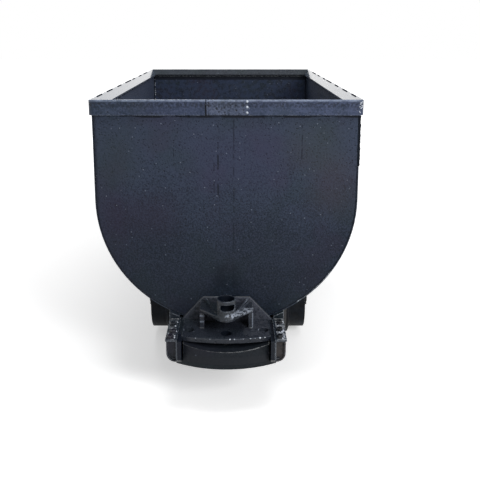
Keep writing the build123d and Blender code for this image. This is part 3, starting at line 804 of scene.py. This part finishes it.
def tube(mesh: Mesh, rings: Sequence[Corners], smooth: bool = False) -> None:
    """Joins rings with equally many corners to a tube that is closed at the first one.

    Args:
        mesh: mesh to add to.
        rings: the rings in order.
        smooth: whether the faces between them are shaded smoothly.
    """
    for low, high in zip(rings, rings[1:]):
        for k in range(len(low)):
            after = (k + 1) % len(low)
            mesh.faces.new((low[k], low[after], high[after], high[k])).smooth = smooth
    mesh.faces.new(list(reversed(rings[0])))


def modify(piece: bpy.types.Object, name: str, kind: str, **settings: object) -> None:
    """Adds a modifier.

    Args:
        piece: object to add it to.
        name: name of the modifier.
        kind: Blender's name of its kind.
        settings: its attributes.
    """
    modifier = piece.modifiers.new(name, kind)
    for key, value in settings.items():
        setattr(modifier, key, value)


def put(name: str, data: bpy.types.ID) -> bpy.types.Object:
    """Puts a new object into the scene.

    Args:
        name: its name.
        data: its mesh, light or camera.

    Returns:
        The object.
    """
    made = bpy.data.objects.new(name, data)
    bpy.context.scene.collection.objects.link(made)
    return made


@dataclass
class Bead:
    """Run of weld: a lumpy tube half sunk in the seam that it closes."""

    path: Sequence[Vector]
    radius: float
    pitch: float = 7 * MM
    unevenness: float = 0.22

    SIDES: ClassVar[int] = 8
    RINGS_A_RIPPLE: ClassVar[int] = 3
    WANDER: ClassVar[float] = 0.12
    END_TAPER: ClassVar[float] = 0.55
    VALLEY: ClassVar[float] = 0.86
    CREST: ClassVar[float] = 0.24
    CREST_SHIFT: ClassVar[float] = 0.2

    def add_to(self, mesh: Mesh, chance: random.Random) -> None:
        """Adds the bead to a mesh.

        Args:
            mesh: mesh to add to.
            chance: source of its unevenness.
        """
        points = self._even_points()
        wander = Vector((0.0, 0.0, 0.0))
        rings: list[Corners] = []
        scale = 1.0
        for index, point in enumerate(points):
            along = (points[min(index + 1, len(points) - 1)] - points[max(index - 1, 0)]).normalized()
            phase = index % self.RINGS_A_RIPPLE / self.RINGS_A_RIPPLE
            if phase == 0.0:
                scale = 1.0 + chance.uniform(-self.unevenness, self.unevenness)
                sway = Vector([chance.uniform(-1, 1) for _ in range(3)])
                wander = wander * 0.5 + sway * self.radius * self.WANDER
            taper = self.END_TAPER if index in (0, len(points) - 1) else 1.0
            ripple = self.VALLEY + self.CREST * sin(pi * (phase + self.CREST_SHIFT))
            rings.append(ring(mesh, point + wander, along, self.radius * scale * taper * ripple, self.SIDES))
        tube(mesh, rings, smooth=True)
        mesh.faces.new(rings[-1])

    def _even_points(self) -> list[Vector]:
        """Divides the path.

        Returns:
            Points in steps of a third of a ripple.
        """
        step = self.pitch / self.RINGS_A_RIPPLE
        points = [self.path[0].copy()]
        for start, stop in zip(self.path, self.path[1:]):
            count = max(1, round((stop - start).length / step))
            points.extend(start.lerp(stop, (k + 1) / count) for k in range(count))
        return points


@dataclass
class HexBolt:
    """Hexagon bolt head or nut on a washer, with the end of its thread where that has a height."""

    width: float
    height: float
    washer_radius: float
    washer_height: float = 2.5 * MM
    thread_radius: float = 0.0
    thread_height: float = 0.0

    WASHER_SIDES: ClassVar[int] = 24
    HEAD_SIDES: ClassVar[int] = 6
    THREAD_SIDES: ClassVar[int] = 16

    # Each profile holds shares of the radius and of the height, from the foot up.
    WASHER: ClassVar[Profile] = ((1.0, 0.0), (1.0, 0.7), (0.95, 1.0))
    HEAD: ClassVar[Profile] = ((1.0, 0.0), (1.0, 0.84), (0.88, 1.0))
    THREAD: ClassVar[Profile] = ((1.0, 0.0), (1.0, 5.5 / 7), (0.85, 1.0))

    def add_to(self, mesh: Mesh, seat: Vector, axis: Vector, turn: float) -> None:
        """Adds the bolt.

        Args:
            mesh: mesh to add to.
            seat: middle of the surface that it stands on.
            axis: direction that it stands out in.
            turn: rotation of the hexagon in radians.
        """
        foot = 0.0
        for profile, sides, radius, height in (
                (self.WASHER, self.WASHER_SIDES, self.washer_radius, self.washer_height),
                (self.HEAD, self.HEAD_SIDES, self.width / sqrt(3), self.height),
                (self.THREAD, self.THREAD_SIDES, self.thread_radius, self.thread_height)):
            if height:
                rings = [ring(mesh, seat + axis * (foot + height * up), axis, radius * out, sides, turn)
                         for out, up in profile]
                tube(mesh, rings)
                mesh.faces.new(rings[-1])
            foot += height


@dataclass
class Drop:
    """Drop of weld spatter or thick paint: a low dome on a surface."""

    radius: float
    squat: float = 0.7

    SIDES: ClassVar[int] = 8
    LEVELS: ClassVar[tuple[float, ...]] = (0.0, 0.35, 0.7)

    def add_to(self, mesh: Mesh, seat: Vector, axis: Vector) -> None:
        """Adds the drop.

        Args:
            mesh: mesh to add to.
            seat: its place on the surface.
            axis: direction that it stands out in.
        """
        height = self.radius * self.squat
        rings = [ring(mesh, seat + axis * height * sin(level * pi / 2), axis, self.radius * cos(level * pi / 2),
                      self.SIDES) for level in self.LEVELS]
        tube(mesh, rings, smooth=True)
        crown = mesh.verts.new(seat + axis * height)
        for first, second in zip(rings[-1], (*rings[-1][1:], rings[-1][0])):
            mesh.faces.new((first, second, crown)).smooth = True


class Workshop:
    """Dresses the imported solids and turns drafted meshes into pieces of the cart."""

    SEAM_GAP: ClassVar[float] = 0.00002
    FLAT_ANGLE: ClassVar[float] = radians(0.3)
    EDGE_ANGLE: ClassVar[float] = radians(28)

    def __init__(self, seed: int = 11) -> None:
        """Starts with a fixed seed, so that each run gives the same cart."""
        self.chance = random.Random(seed)

    @classmethod
    def _coated(cls, node: str, material: Material) -> bpy.types.Object:
        """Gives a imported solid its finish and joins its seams.

        Args:
            node: name of the node.
            material: its finish.

        Returns:
            The node's object.
        """
        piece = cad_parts[node]
        piece.data.materials.clear()
        piece.data.materials.append(material)
        modify(piece, "join_seams", "WELD", merge_threshold=cls.SEAM_GAP)
        log.info("dressed %s in %s", node, material.name)
        return piece

    def dress(self, node: str, material: Material, edge: float = 1.2 * MM) -> None:
        """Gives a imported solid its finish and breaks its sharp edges.

        Args:
            node: name of the node.
            material: its finish.
            edge: width of the broken edges in metres.
        """
        piece = self._coated(node, material)
        modify(piece, "join_flats", "DECIMATE", decimate_type="DISSOLVE", angle_limit=self.FLAT_ANGLE)
        modify(piece, "broken_edges", "BEVEL", width=edge, segments=2, limit_method="ANGLE",
               angle_limit=self.EDGE_ANGLE, harden_normals=False)
        modify(piece, "flat_shading", "WEIGHTED_NORMAL", keep_sharp=True)

    def cast(self, node: str, material: Material, voxel: float, rounds: int) -> None:
        """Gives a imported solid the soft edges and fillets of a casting.

        Args:
            node: name of the node.
            material: its finish.
            voxel: grain of the remeshed surface in metres.
            rounds: how often the surface is smoothed.
        """
        piece = self._coated(node, material)
        modify(piece, "cast_skin", "REMESH", mode="VOXEL", voxel_size=voxel, use_smooth_shade=True)
        modify(piece, "soft_edges", "SMOOTH", factor=0.5, iterations=rounds)

    def piece(self, name: str, mesh: Mesh, material: Material, slot: str, body: str = CART) -> None:
        """Makes a drafted mesh a piece that rides on a body.

        Args:
            name: name of the piece.
            mesh: drafted mesh, freed here.
            material: its finish.
            slot: not used.
            body: body that it rides on.
        """
        data = bpy.data.meshes.new(name)
        bmesh.ops.recalc_face_normals(mesh, faces=mesh.faces)
        mesh.to_mesh(data)
        mesh.free()
        data.materials.append(material)
        made = put(name, data)
        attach(made, body)
        log.info("made %s with %d faces", name, len(data.polygons))

    def beads(self, name: str, beads: Iterable[Bead], material: Material, slot: str) -> None:
        """Makes runs of weld one piece of the cart.

        Args:
            name: name of the piece.
            beads: the runs.
            material: their finish.
            slot: handed on to piece, which doesn't use it.
        """
        mesh = bmesh.new()
        for bead in beads:
            bead.add_to(mesh, self.chance)
        self.piece(name, mesh, material, slot)


# --- Sub-assemblies ---


@dataclass
class Assembly:
    """Part of the cart that dresses its nodes and adds its trim."""

    shop: Workshop
    finishes: Finishes


@dataclass
class Tub(Assembly):
    """Bent shell and its two end plates, welded inside and outside."""

    shell_thickness: float = 6 * MM
    end_thickness: float = 8 * MM
    seam_bead: float = 3.0 * MM
    seam_sink: float = 1.2 * MM
    seam_top_drop: float = 30 * MM
    inside_bead: float = 5.0 * MM
    inside_top_drop: float = 20 * MM
    corner_bead: float = 4.2 * MM
    corner_pitch: float = 13 * MM
    corner_unevenness: float = 0.25
    corner_inset: float = 1.5 * MM
    corner_low: float = 0.965
    corner_top_drop: float = 40 * MM
    # Stretch of each outer weld, low on the right, whose pale finish paints its highlight.
    highlight_bead: float = 2.2 * MM
    highlight_across: tuple[float, float] = (0.26, 0.43)
    corner_tacks: int = 9
    tack_pitch: float = 13 * MM
    tack_top_drop: float = 44 * MM
    tack_inset: float = 5 * MM
    tack_sway: float = 2 * MM
    tack_radii: tuple[float, float] = (2.0 * MM, 4.4 * MM)
    bow_steps: int = 48

    def __post_init__(self) -> None:
        """Reads the tub's sizes from the frame."""
        low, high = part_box("tub_shell")
        self.half_width, self.half_length, self.top = high
        self.bow = low.z + self.half_width

    def build(self) -> None:
        """Dresses the plates and lays their welds."""
        self.shop.dress("tub_shell", self.finishes.shell)
        for end in End:
            self.shop.dress(f"end_plate_{end.tag}", self.finishes.plate[end])
        for end in End:
            self.shop.beads(f"tub_welds_{end.tag}", self._welds(end), self.finishes.plate_weld, "tub_paint")
            # A pale stretch of each outer weld paints its highlight.
            self.shop.beads(f"rubbed_welds_{end.tag}", [self._rubbed_weld(end)], self.finishes.highlight_weld, "tub_paint")
        self.shop.piece("corner_tacks", self._corner_tacks(), self.finishes.spatter, "tub_paint")

    def _outline(self, inset: float, y: float, top_drop: float) -> list[Vector]:
        """U-shaped path round the tub.

        Args:
            inset: how far it lies inside the shell's outer face.
            y: its place along the cart.
            top_drop: how far its ends lie under the shell's top.

        Returns:
            Points from the left wall's top, under the tub, to the right wall's top.
        """
        radius = self.half_width - inset
        top = self.top - top_drop
        bend = [Vector((-radius * cos(pi * k / self.bow_steps), y, self.bow - radius * sin(pi * k / self.bow_steps)))
                for k in range(self.bow_steps + 1)]
        return [Vector((-radius, y, top)), *bend, Vector((radius, y, top))]

    def _welds(self, end: End) -> list[Bead]:
        """Welds of one end plate.

        Args:
            end: the plate's end of the cart.

        Returns:
            Beads outside, inside, and up the right corner.
        """
        face = end.value * (self.half_length - self.seam_sink)
        inner = end.value * (self.half_length - self.end_thickness)
        corner = [end.place(self.half_width - self.corner_inset, self.corner_inset - self.half_length, z)
                  for z in (self.corner_low, self.top - self.corner_top_drop)]
        return [Bead(self._outline(self.shell_thickness, face, self.seam_top_drop), self.seam_bead),
                Bead(self._outline(self.shell_thickness + 1 * MM, inner, self.inside_top_drop), self.inside_bead),
                Bead(corner, self.corner_bead, self.corner_pitch, self.corner_unevenness)]

    def _rubbed_weld(self, end: End) -> Bead:
        """Stretch of an end plate's outer weld, in a pale finish that paints its highlight.

        Args:
            end: the plate's end of the cart.

        Returns:
            Its bead, low on the right.
        """
        near, far = self.highlight_across
        path = self._outline(self.shell_thickness - 2 * MM, end.value * self.half_length, self.seam_top_drop)
        return Bead([point for point in path if near < -end.value * point.x < far and point.z < self.bow],
                    self.highlight_bead)

    def _corner_tacks(self) -> Mesh:
        """Drops of weld down the far left corner inside, and the like corner of the other end, near white to
        paint their glints.

        Returns:
            Their mesh.
        """
        mesh = bmesh.new()
        chance = self.shop.chance
        across = self.half_width - self.shell_thickness - self.tack_inset
        wall = self.half_length - self.end_thickness
        for end in End:
            inward = Vector((0, -end.value, 0))
            for step in range(self.corner_tacks):
                z = self.top - self.tack_top_drop - step * self.tack_pitch
                x = chance.uniform(-self.tack_sway, self.tack_sway) - end.value * across
                Drop(chance.uniform(*self.tack_radii)).add_to(mesh, Vector((x, end.value * wall, z)), inward)
        return mesh


@dataclass
class Rim(Assembly):
    """Heavy bar round the tub's mouth, with stitch welds and a pieced front."""

    stitch_bead: float = 3.9 * MM
    stitch_inset: float = 1.3
    stitch_unevenness: float = 0.05
    under_bead: float = 4.6 * MM
    under_pitch: float = 16 * MM
    under_unevenness: float = 0.3
    lip_drop: float = 45 * MM
    lip_side_bead: float = 4.4 * MM
    lip_end_bead: float = 5 * MM
    tack_radius: float = 5.5 * MM
    tack_drops: tuple[float, ...] = (7 * MM, 28 * MM, 50 * MM)
    lumps: int = 16
    lump_insets: tuple[float, float] = (20 * MM, 9 * MM)
    lump_drops: tuple[float, float] = (8 * MM, 50 * MM)
    lump_radii: tuple[float, float] = (1.2 * MM, 3.2 * MM)
    band_beads: tuple[tuple[float, float], ...] = (
        (-0.410, -0.318), (-0.194, -0.130), (0.138, 0.218), (0.337, 0.418))

    def __post_init__(self) -> None:
        """Reads the rim's sizes from the frame."""
        low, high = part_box("rim_side_right")
        self.half_width, self.bottom, self.top = high.x, low.z, high.z
        self.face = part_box("rim_rear")[1].y
        self.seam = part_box("rim_front_insert")[1].x
        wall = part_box("tub_shell")[1]
        self.wall_x, self.wall_y = wall.x, wall.y

    def build(self) -> None:
        """Dresses the bars and lays their welds."""
        for side in Side:
            self.shop.dress(f"rim_side_{side.tag}", self.finishes.rim_side, 1.5 * MM)
            self.shop.dress(f"rim_front_{side.tag}", self.finishes.rim_front, 1.5 * MM)
        self.shop.dress("rim_rear", self.finishes.rim_rear, 1.5 * MM)
        self.shop.dress("rim_front_insert", self.finishes.insert, 2 * MM)
        self.shop.beads("rim_stitches", self._stitches(), self.finishes.dark_weld, "rim_paint")
        self.shop.beads("rim_band_welds", self._band_welds(), self.finishes.plate_weld, "rim_paint")
        self.shop.piece("rim_tacks", self._tacks(), self.finishes.spatter, "rim_paint")
        self.shop.beads("rim_inside_welds", self._inside_welds(), self.finishes.weld, "rim_paint")

    def _stitches(self) -> list[Bead]:
        """Stitch welds of the side bars and the rear bar.

        Returns:
            Short beads along their outer top edges.
        """
        inset = self.stitch_bead * self.stitch_inset
        up = self.top - inset
        out = self.half_width - inset
        paths = []
        for centre, length in SIDE_STITCHES:
            for side in Side:
                paths.append([Vector((side.value * out, -self.face + centre + way * length / 2, up))
                              for way in (-1, 1)])
        for ends in REAR_STITCHES:
            paths.append([Vector((x, self.face - inset, up)) for x in ends])
        return [Bead(path, self.stitch_bead, unevenness=self.stitch_unevenness) for path in paths]

    def _band_welds(self) -> list[Bead]:
        """Welds of the front band and of the rear one.

        Returns:
            Short beads under them.
        """
        y, z = -self.wall_y - 1.5 * MM, self.bottom - 0.6 * MM
        return [Bead([end.place(x, y, z) for x in ends], self.under_bead, self.under_pitch, self.under_unevenness)
                for end in End for ends in self.band_beads]

    def _tacks(self) -> Mesh:
        """Tack welds down the insert's seam and lumps of weld at the band's right end, near white to paint their
        glints.

        Returns:
            Their mesh.
        """
        mesh = bmesh.new()
        forward = Vector((0, -1, 0))
        for drop in self.tack_drops:
            Drop(self.tack_radius).add_to(mesh, Vector((self.seam, -self.face, self.top - drop)), forward)
        chance = self.shop.chance
        for _ in range(self.lumps):
            x = self.half_width - chance.uniform(*self.lump_insets)
            seat = Vector((x, -self.face, self.top - chance.uniform(*self.lump_drops)))
            Drop(chance.uniform(*self.lump_radii)).add_to(mesh, seat, forward)
        return mesh

    def _inside_welds(self) -> list[Bead]:
        """Welds of the rim's lip.

        Returns:
            Beads under it, along the inside of the four walls.
        """
        z = self.top - self.lip_drop
        side_x = self.wall_x - 7 * MM
        end_y = self.wall_y - 9 * MM
        return [*(Bead([Vector((side.value * side_x, y, z)) for y in (-end_y, end_y)], self.lip_side_bead)
                  for side in Side),
                *(Bead([end.place(x, -end_y, z) for x in (-side_x, side_x)], self.lip_end_bead) for end in End)]


@dataclass
class Underframe(Assembly):
    """Sills with their stops, saddles, cross members and axle seats."""

    flange_thickness: float = 7.6 * MM
    flange_bolts: tuple[tuple[float, float], ...] = (
        (0.213, -1.040), (0.209, -1.108), (0.207, -1.169), (-0.213, -1.060), (-0.207, -1.126), (-0.213, -1.172))
    seat_foot: float = 14 * MM
    seat_bolt_reach: float = 62 * MM
    sill_drops: int = 18
    sill_drop_along: tuple[float, float] = (-1.180, -1.012)
    sill_drop_radii: tuple[float, float] = (1.4 * MM, 3.2 * MM)
    # More drops at the right bolts than at the left ones, and on each bolt's right, for painted glints.
    bolt_drops: tuple[int, int] = (3, 6)
    bolt_drop_turn: float = 1.1
    bolt_drop_reach: tuple[float, float] = (13 * MM, 16 * MM)
    bolt_drop_radii: tuple[float, float] = (2.0 * MM, 4.0 * MM)
    bolt_drop_squat: float = 1.1
    saddle_length: float = 60 * MM
    saddle_bead: float = 4.2 * MM

    HEAD: ClassVar[HexBolt] = HexBolt(width=22 * MM, height=10 * MM, washer_radius=15 * MM)
    NUT: ClassVar[HexBolt] = HexBolt(width=24 * MM, height=12 * MM, washer_radius=16.5 * MM, thread_radius=7.8 * MM,
                                     thread_height=7 * MM)
    NUT_TURN: ClassVar[float] = 0.3

    def __post_init__(self) -> None:
        """Reads the underframe's sizes from the frame."""
        self.sill_low, self.sill_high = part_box("sill_right")
        self.saddle_low, self.saddle_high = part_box("saddles_right")
        axle_low, axle_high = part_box("axle_front")
        self.axle_y = -(axle_low.y + axle_high.y) / 2

    def build(self) -> None:
        """Dresses the frame, and adds its bolts and welds."""
        for side in Side:
            self.shop.dress(f"sill_{side.tag}", self.finishes.frame)
            self.shop.dress(f"saddles_{side.tag}", self.finishes.saddle, 2 * MM)
            for end in End:
                self.shop.dress(f"axle_seat_{end.tag}_{side.tag}", self.finishes.frame, 2 * MM)
        for place in ("front", "middle", "rear"):
            self.shop.dress(f"cross_member_{place}", self.finishes.frame)
        self.shop.dress("sill_stops", self.finishes.cap)
        self.shop.piece("frame_bolts", self._bolts(), self.finishes.bolt, "frame_paint")
        self.shop.piece("sill_drops", self._drops(), self.finishes.spatter, "frame_paint")
        self.shop.beads("saddle_welds", self._saddle_welds(), self.finishes.weld, "frame_paint")

    def _bolts(self) -> Mesh:
        """Bolts through the sills' upper flanges and through the axle seats' feet.

        Returns:
            Their mesh.
        """
        mesh = bmesh.new()
        up, down = Vector((0, 0, 1)), Vector((0, 0, -1))
        bottom = self.sill_low.z
        bolt_x = (self.sill_low.x + self.sill_high.x) / 2 + 1 * MM
        chance = self.shop.chance
        for end in End:
            for x, y in self.flange_bolts:
                self.HEAD.add_to(mesh, end.place(x, y, self.sill_high.z), up, chance.uniform(0, pi))
            for side in Side:
                x = side.value * bolt_x
                for way in (-1, 1):
                    y = end.value * self.axle_y + way * self.seat_bolt_reach
                    self.HEAD.add_to(mesh, Vector((x, y, bottom - self.seat_foot)), down, chance.uniform(0, pi))
                    self.NUT.add_to(mesh, Vector((x, y, bottom + self.flange_thickness)), up, self.NUT_TURN)
        return mesh

    def _drops(self) -> Mesh:
        """Thick drops of paint and spatter on the sills' upper flanges, in front of the tub, near white to paint
        their glints.

        Returns:
            Their mesh.
        """
        mesh = bmesh.new()
        chance = self.shop.chance
        up = Vector((0, 0, 1))
        top = self.sill_high.z
        near, far = self.sill_low.x, self.sill_high.x - 4 * MM
        few, many = self.bolt_drops
        for end in End:
            for side in Side:
                for _ in range(self.sill_drops):
                    x = side.value * chance.uniform(near + 9 * MM, far)
                    seat = end.place(x, chance.uniform(*self.sill_drop_along), top)
                    Drop(chance.uniform(*self.sill_drop_radii)).add_to(mesh, seat, up)
            # More painted glints round the right bolts, on each bolt's right.
            for x, y in self.flange_bolts:
                for _ in range(many if x > 0 else few):
                    turn = chance.uniform(-self.bolt_drop_turn, self.bolt_drop_turn)
                    reach = chance.uniform(*self.bolt_drop_reach)
                    across = max(-far, min(far, x + reach * cos(turn)))
                    seat = end.place(across, y + reach * sin(turn), top)
                    Drop(chance.uniform(*self.bolt_drop_radii), self.bolt_drop_squat).add_to(mesh, seat, up)
        return mesh

    def _saddle_welds(self) -> list[Bead]:
        """Welds of the saddles.

        Returns:
            Beads across the sills, before and behind each saddle.
        """
        half = self.saddle_length / 2
        z = self.sill_high.z + 0.5 * MM
        near, far = self.saddle_low.x, self.saddle_high.x - 1 * MM
        centres = (self.saddle_low.y + half, -self.axle_y, self.axle_y, self.saddle_high.y - half)
        return [Bead([Vector((side.value * x, centre + way * half, z)) for x in (near, far)], self.saddle_bead)
                for side in Side for centre in centres for way in (-1, 1)]


@dataclass
class CouplingHead(Assembly):
    """Buffer block, plates and cast pin guide at one end of the cart."""

    end: End
    plate_bead: float = 2.6 * MM
    lug_bead: float = 3.6 * MM
    post_bead: float = 3 * MM
    post_width: float = 18 * MM
    back_plate_half_top: float = 95 * MM
    top_plate_bow: float = 24 * MM
    top_plate_corner: float = 26 * MM
    guide_voxel: float = 2 * MM
    guide_rounds: int = 5
    # Places across the cart and radii of the near-white drops that paint glints, most of them on the right.
    edge_drops: tuple[tuple[float, float], ...] = (
        (0.015, 0.0034), (0.032, 0.0030), (0.066, 0.0018), (0.094, 0.0022), (0.112, 0.0018), (0.131, 0.0040),
        (0.150, 0.0024), (-0.062, 0.0018), (-0.118, 0.0020))

    def __post_init__(self) -> None:
        """Reads the front head's sizes from the frame; the rear head is the same, turned round."""
        self.plate_low, self.plate_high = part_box("back_plate_front")
        self.posts_low, self.posts_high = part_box("guide_posts_front")
        self.top_low, self.top_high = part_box("top_plate_front")
        self.lug_half_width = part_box("pin_guide_front")[1].x
        self.cheek_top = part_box("cheeks_front")[1].z

    def build(self) -> None:
        """Dresses the head, lays its welds and adds its spatter."""
        tag = self.end.tag
        for node in ("top_plate", "back_plate", "guide_posts"):
            self.shop.dress(f"{node}_{tag}", self.finishes.head, 1.6 * MM)
        self.shop.dress(f"cheeks_{tag}", self.finishes.cheek, 1.6 * MM)
        self.shop.dress(f"bottom_plate_{tag}", self.finishes.foot, 1 * MM)
        self.shop.dress(f"buffer_block_{tag}", self.finishes.block, 2.2 * MM)
        self.shop.cast(f"pin_guide_{tag}", self.finishes.guide, self.guide_voxel, self.guide_rounds)
        self.shop.beads(f"head_welds_{tag}", self._welds(), self.finishes.weld, "head_paint")
        self.shop.piece(f"head_drops_{tag}", self._drops(), self.finishes.spatter, "head_paint")

    def _drops(self) -> Mesh:
        """Drops of spatter along the top plate's bowed front edge, near white to paint their glints, most of them
        on the right.

        Returns:
            Their mesh.
        """
        mesh = bmesh.new()
        slope = self.end.place(0, -0.6, 0.8)
        for across, radius in self.edge_drops:
            bow = self.top_plate_bow * (across / self.top_high.x) ** 2
            seat = self.end.place(across, self.top_low.y + bow + 0.5 * MM, self.top_high.z - 1.5 * MM)
            Drop(radius).add_to(mesh, seat, slope)
        return mesh

    def _welds(self) -> list[Bead]:
        """Welds of the head.

        Returns:
            Beads round the back plate, under the lug, along the top plate and at the posts' feet.
        """
        face = self.plate_low.y
        wall = self.plate_high.y - 1 * MM
        half_top, half_low = self.back_plate_half_top, self.plate_high.x
        top, cheek_top = self.plate_high.z, self.cheek_top
        lug_z, plate_z = self.posts_high.z, self.top_high.z
        outer, nose = self.posts_high.x, self.posts_low.y
        inner = outer - self.post_width
        edge = tuple((x, wall, z) for x, z in ((-half_low, cheek_top), (-half_top, top), (half_top, top),
                                               (half_low, cheek_top)))
        paths = [(edge, self.plate_bead),
                 (((-self.lug_half_width, face, lug_z), (self.lug_half_width, face, lug_z)), self.lug_bead)]
        for side in Side:
            cheek_x, near, far = (side.value * x for x in (self.top_high.x, inner, outer))
            corner = self.top_low.y + self.top_plate_corner
            paths += [(((cheek_x, corner, plate_z), (cheek_x, face, plate_z)), self.plate_bead),
                      (((near, nose, plate_z), (far, nose, plate_z)), self.post_bead),
                      (((far, nose, plate_z), (far, face, plate_z)), self.post_bead)]
        return [Bead([self.end.place(*point) for point in path], radius) for path, radius in paths]


@dataclass
class Wheelset(Assembly):
    """Axle with its two wheels and their bolted hub caps."""

    end: End
    cap_thickness: float = 6 * MM
    cap_bolts: int = 4
    bolt_circle: float = 42.5 * MM

    BOLT: ClassVar[HexBolt] = HexBolt(width=10 * MM, height=5 * MM, washer_radius=6.6 * MM, washer_height=1.2 * MM)

    def build(self) -> None:
        """Dresses the wheelset and bolts its caps."""
        tag = self.end.tag
        self.shop.dress(f"axle_{tag}", self.finishes.steel, 1 * MM)
        self.shop.dress(f"hub_caps_{tag}", self.finishes.wheel, 1.5 * MM)
        for side in Side:
            self.shop.dress(f"wheel_{tag}_{side.tag}", self.finishes.wheel, 3 * MM)
        self.shop.piece(f"cap_bolts_{tag}", self._bolts(), self.finishes.bolt, "wheel_paint", f"wheelset_{tag}")

    def _bolts(self) -> Mesh:
        """Bolts of the two hub caps.

        Returns:
            Their mesh.
        """
        tag = self.end.tag
        low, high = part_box(f"axle_{tag}")
        centre = (low + high) / 2
        face = high.x + self.cap_thickness
        mesh = bmesh.new()
        for side in Side:
            for k in range(self.cap_bolts):
                turn = pi / 4 + 2 * pi * k / self.cap_bolts
                seat = Vector((side.value * face, centre.y + self.bolt_circle * cos(turn),
                               centre.z + self.bolt_circle * sin(turn)))
                self.BOLT.add_to(mesh, seat, Vector((side.value, 0, 0)), turn)
        return mesh


# --- Studio ---


@dataclass(frozen=True)
class Lamp:
    """Rectangular soft lamp, aimed at a point of the cart."""

    name: str
    place: Point
    aim: Point
    width: float
    length: float
    power: float

    def hang(self) -> None:
        """Puts the lamp in the scene, where the camera doesn't see it."""
        data = bpy.data.lights.new(self.name, "AREA")
        data.shape = "RECTANGLE"
        data.size, data.size_y = self.width, self.length
        data.energy = self.power
        lamp = put(self.name, data)
        lamp.location = self.place
        lamp.rotation_euler = (Vector(self.aim) - Vector(self.place)).to_track_quat("-Z", "Y").to_euler()
        lamp.visible_camera = False


@dataclass
class Studio:
    """Pale floor, soft lamps and the camera at the photograph's angle."""

    camera_place: Point = (0.037, -3.549, 1.489)
    camera_tilt: float = 0.199
    focal_px: float = 668.4
    frame_px: float = 480.0
    centre_px: tuple[float, float] = (235.685, 164.26)
    soft_light: float = 0.35
    floor_size: float = 60.0
    floor_colour: Colour = (0.45, 0.46, 0.48)
    floor_glow: tuple[float, float] = (0.42, 1.0)
    floor_glow_reach: tuple[float, float] = (1.5, 7.0)
    lamps: tuple[Lamp, ...] = (
        Lamp("key_lamp", (2.6, -4.8, 3.0), (0.0, -0.9, 0.6), 1.6, 1.6, 150.0),
        Lamp("top_lamp", (0.6, -1.9, 4.6), (0.0, 0.2, 0.8), 2.4, 1.8, 70.0),
        Lamp("back_lamp", (-1.5, 5.5, 3.8), (0.0, 0.9, 0.6), 2.0, 2.0, 90.0),
    )

    WHITE: ClassVar[Colour] = (1.0, 1.0, 1.0)

    def build(self) -> None:
        """Sets up everything that isn't the cart."""
        self._camera()
        self._world()
        self._floor()
        for lamp in self.lamps:
            lamp.hang()
        bpy.context.scene.view_settings.view_transform = "Standard"
        log.info("studio is ready")

    def _camera(self) -> None:
        """Camera that sees the cart as the photograph does."""
        data = bpy.data.cameras.new("camera")
        data.sensor_width = 36.0
        data.lens = self.focal_px / self.frame_px * data.sensor_width
        half = self.frame_px / 2
        data.shift_x = (half - self.centre_px[0]) / self.frame_px
        data.shift_y = (self.centre_px[1] - half) / self.frame_px
        camera = put("camera", data)
        camera.location = self.camera_place
        camera.rotation_euler = (pi / 2 - self.camera_tilt, 0.0, 0.0)
        bpy.context.scene.camera = camera

    def _world(self) -> None:
        """World that is white to look at and in reflections, and a plain soft light otherwise."""
        chart = Chart(bpy.data.worlds.new("studio_world"), "ShaderNodeOutputWorld")
        skies = [chart.node("ShaderNodeBackground", {"Color": self.WHITE, "Strength": strength}).outputs[0]
                 for strength in (self.soft_light, 1.0)]
        bpy.context.scene.world = chart.finish(chart.blend(chart.seen(), *skies))

    def _floor(self) -> None:
        """Plain pale floor under the flanges, which fades into the white of the world far away."""
        mesh = bmesh.new()
        bmesh.ops.create_grid(mesh, x_segments=1, y_segments=1, size=self.floor_size / 2)
        data = bpy.data.meshes.new("floor")
        mesh.to_mesh(data)
        mesh.free()
        floor = put("floor", data)
        chart = Chart(bpy.data.materials.new("pale_floor"))
        seen = chart.seen()
        matt = chart.node("ShaderNodeBsdfDiffuse", {"Color": chart.mix(seen, self.floor_colour, self.WHITE)})
        reach = chart.node("ShaderNodeVectorMath", {0: chart.place}, operation="LENGTH").outputs["Value"]
        glow = chart.node("ShaderNodeEmission", {
            "Color": self.WHITE,
            "Strength": chart.product(seen, chart.span(reach, *self.floor_glow_reach, *self.floor_glow))})
        both = chart.node("ShaderNodeAddShader", {0: matt.outputs[0], 1: glow.outputs[0]})
        data.materials.append(chart.finish(both.outputs[0]))


def main() -> None:
    """Builds every sub-assembly in order."""
    logging.basicConfig(level=logging.INFO, format="%(message)s")
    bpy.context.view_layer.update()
    shop = Workshop()
    finishes = Finishes()
    Tub(shop, finishes).build()
    Rim(shop, finishes).build()
    Underframe(shop, finishes).build()
    for end in End:
        CouplingHead(shop, finishes, end).build()
        Wheelset(shop, finishes, end).build()
    Studio().build()


if __name__ == "__main__":
    main()
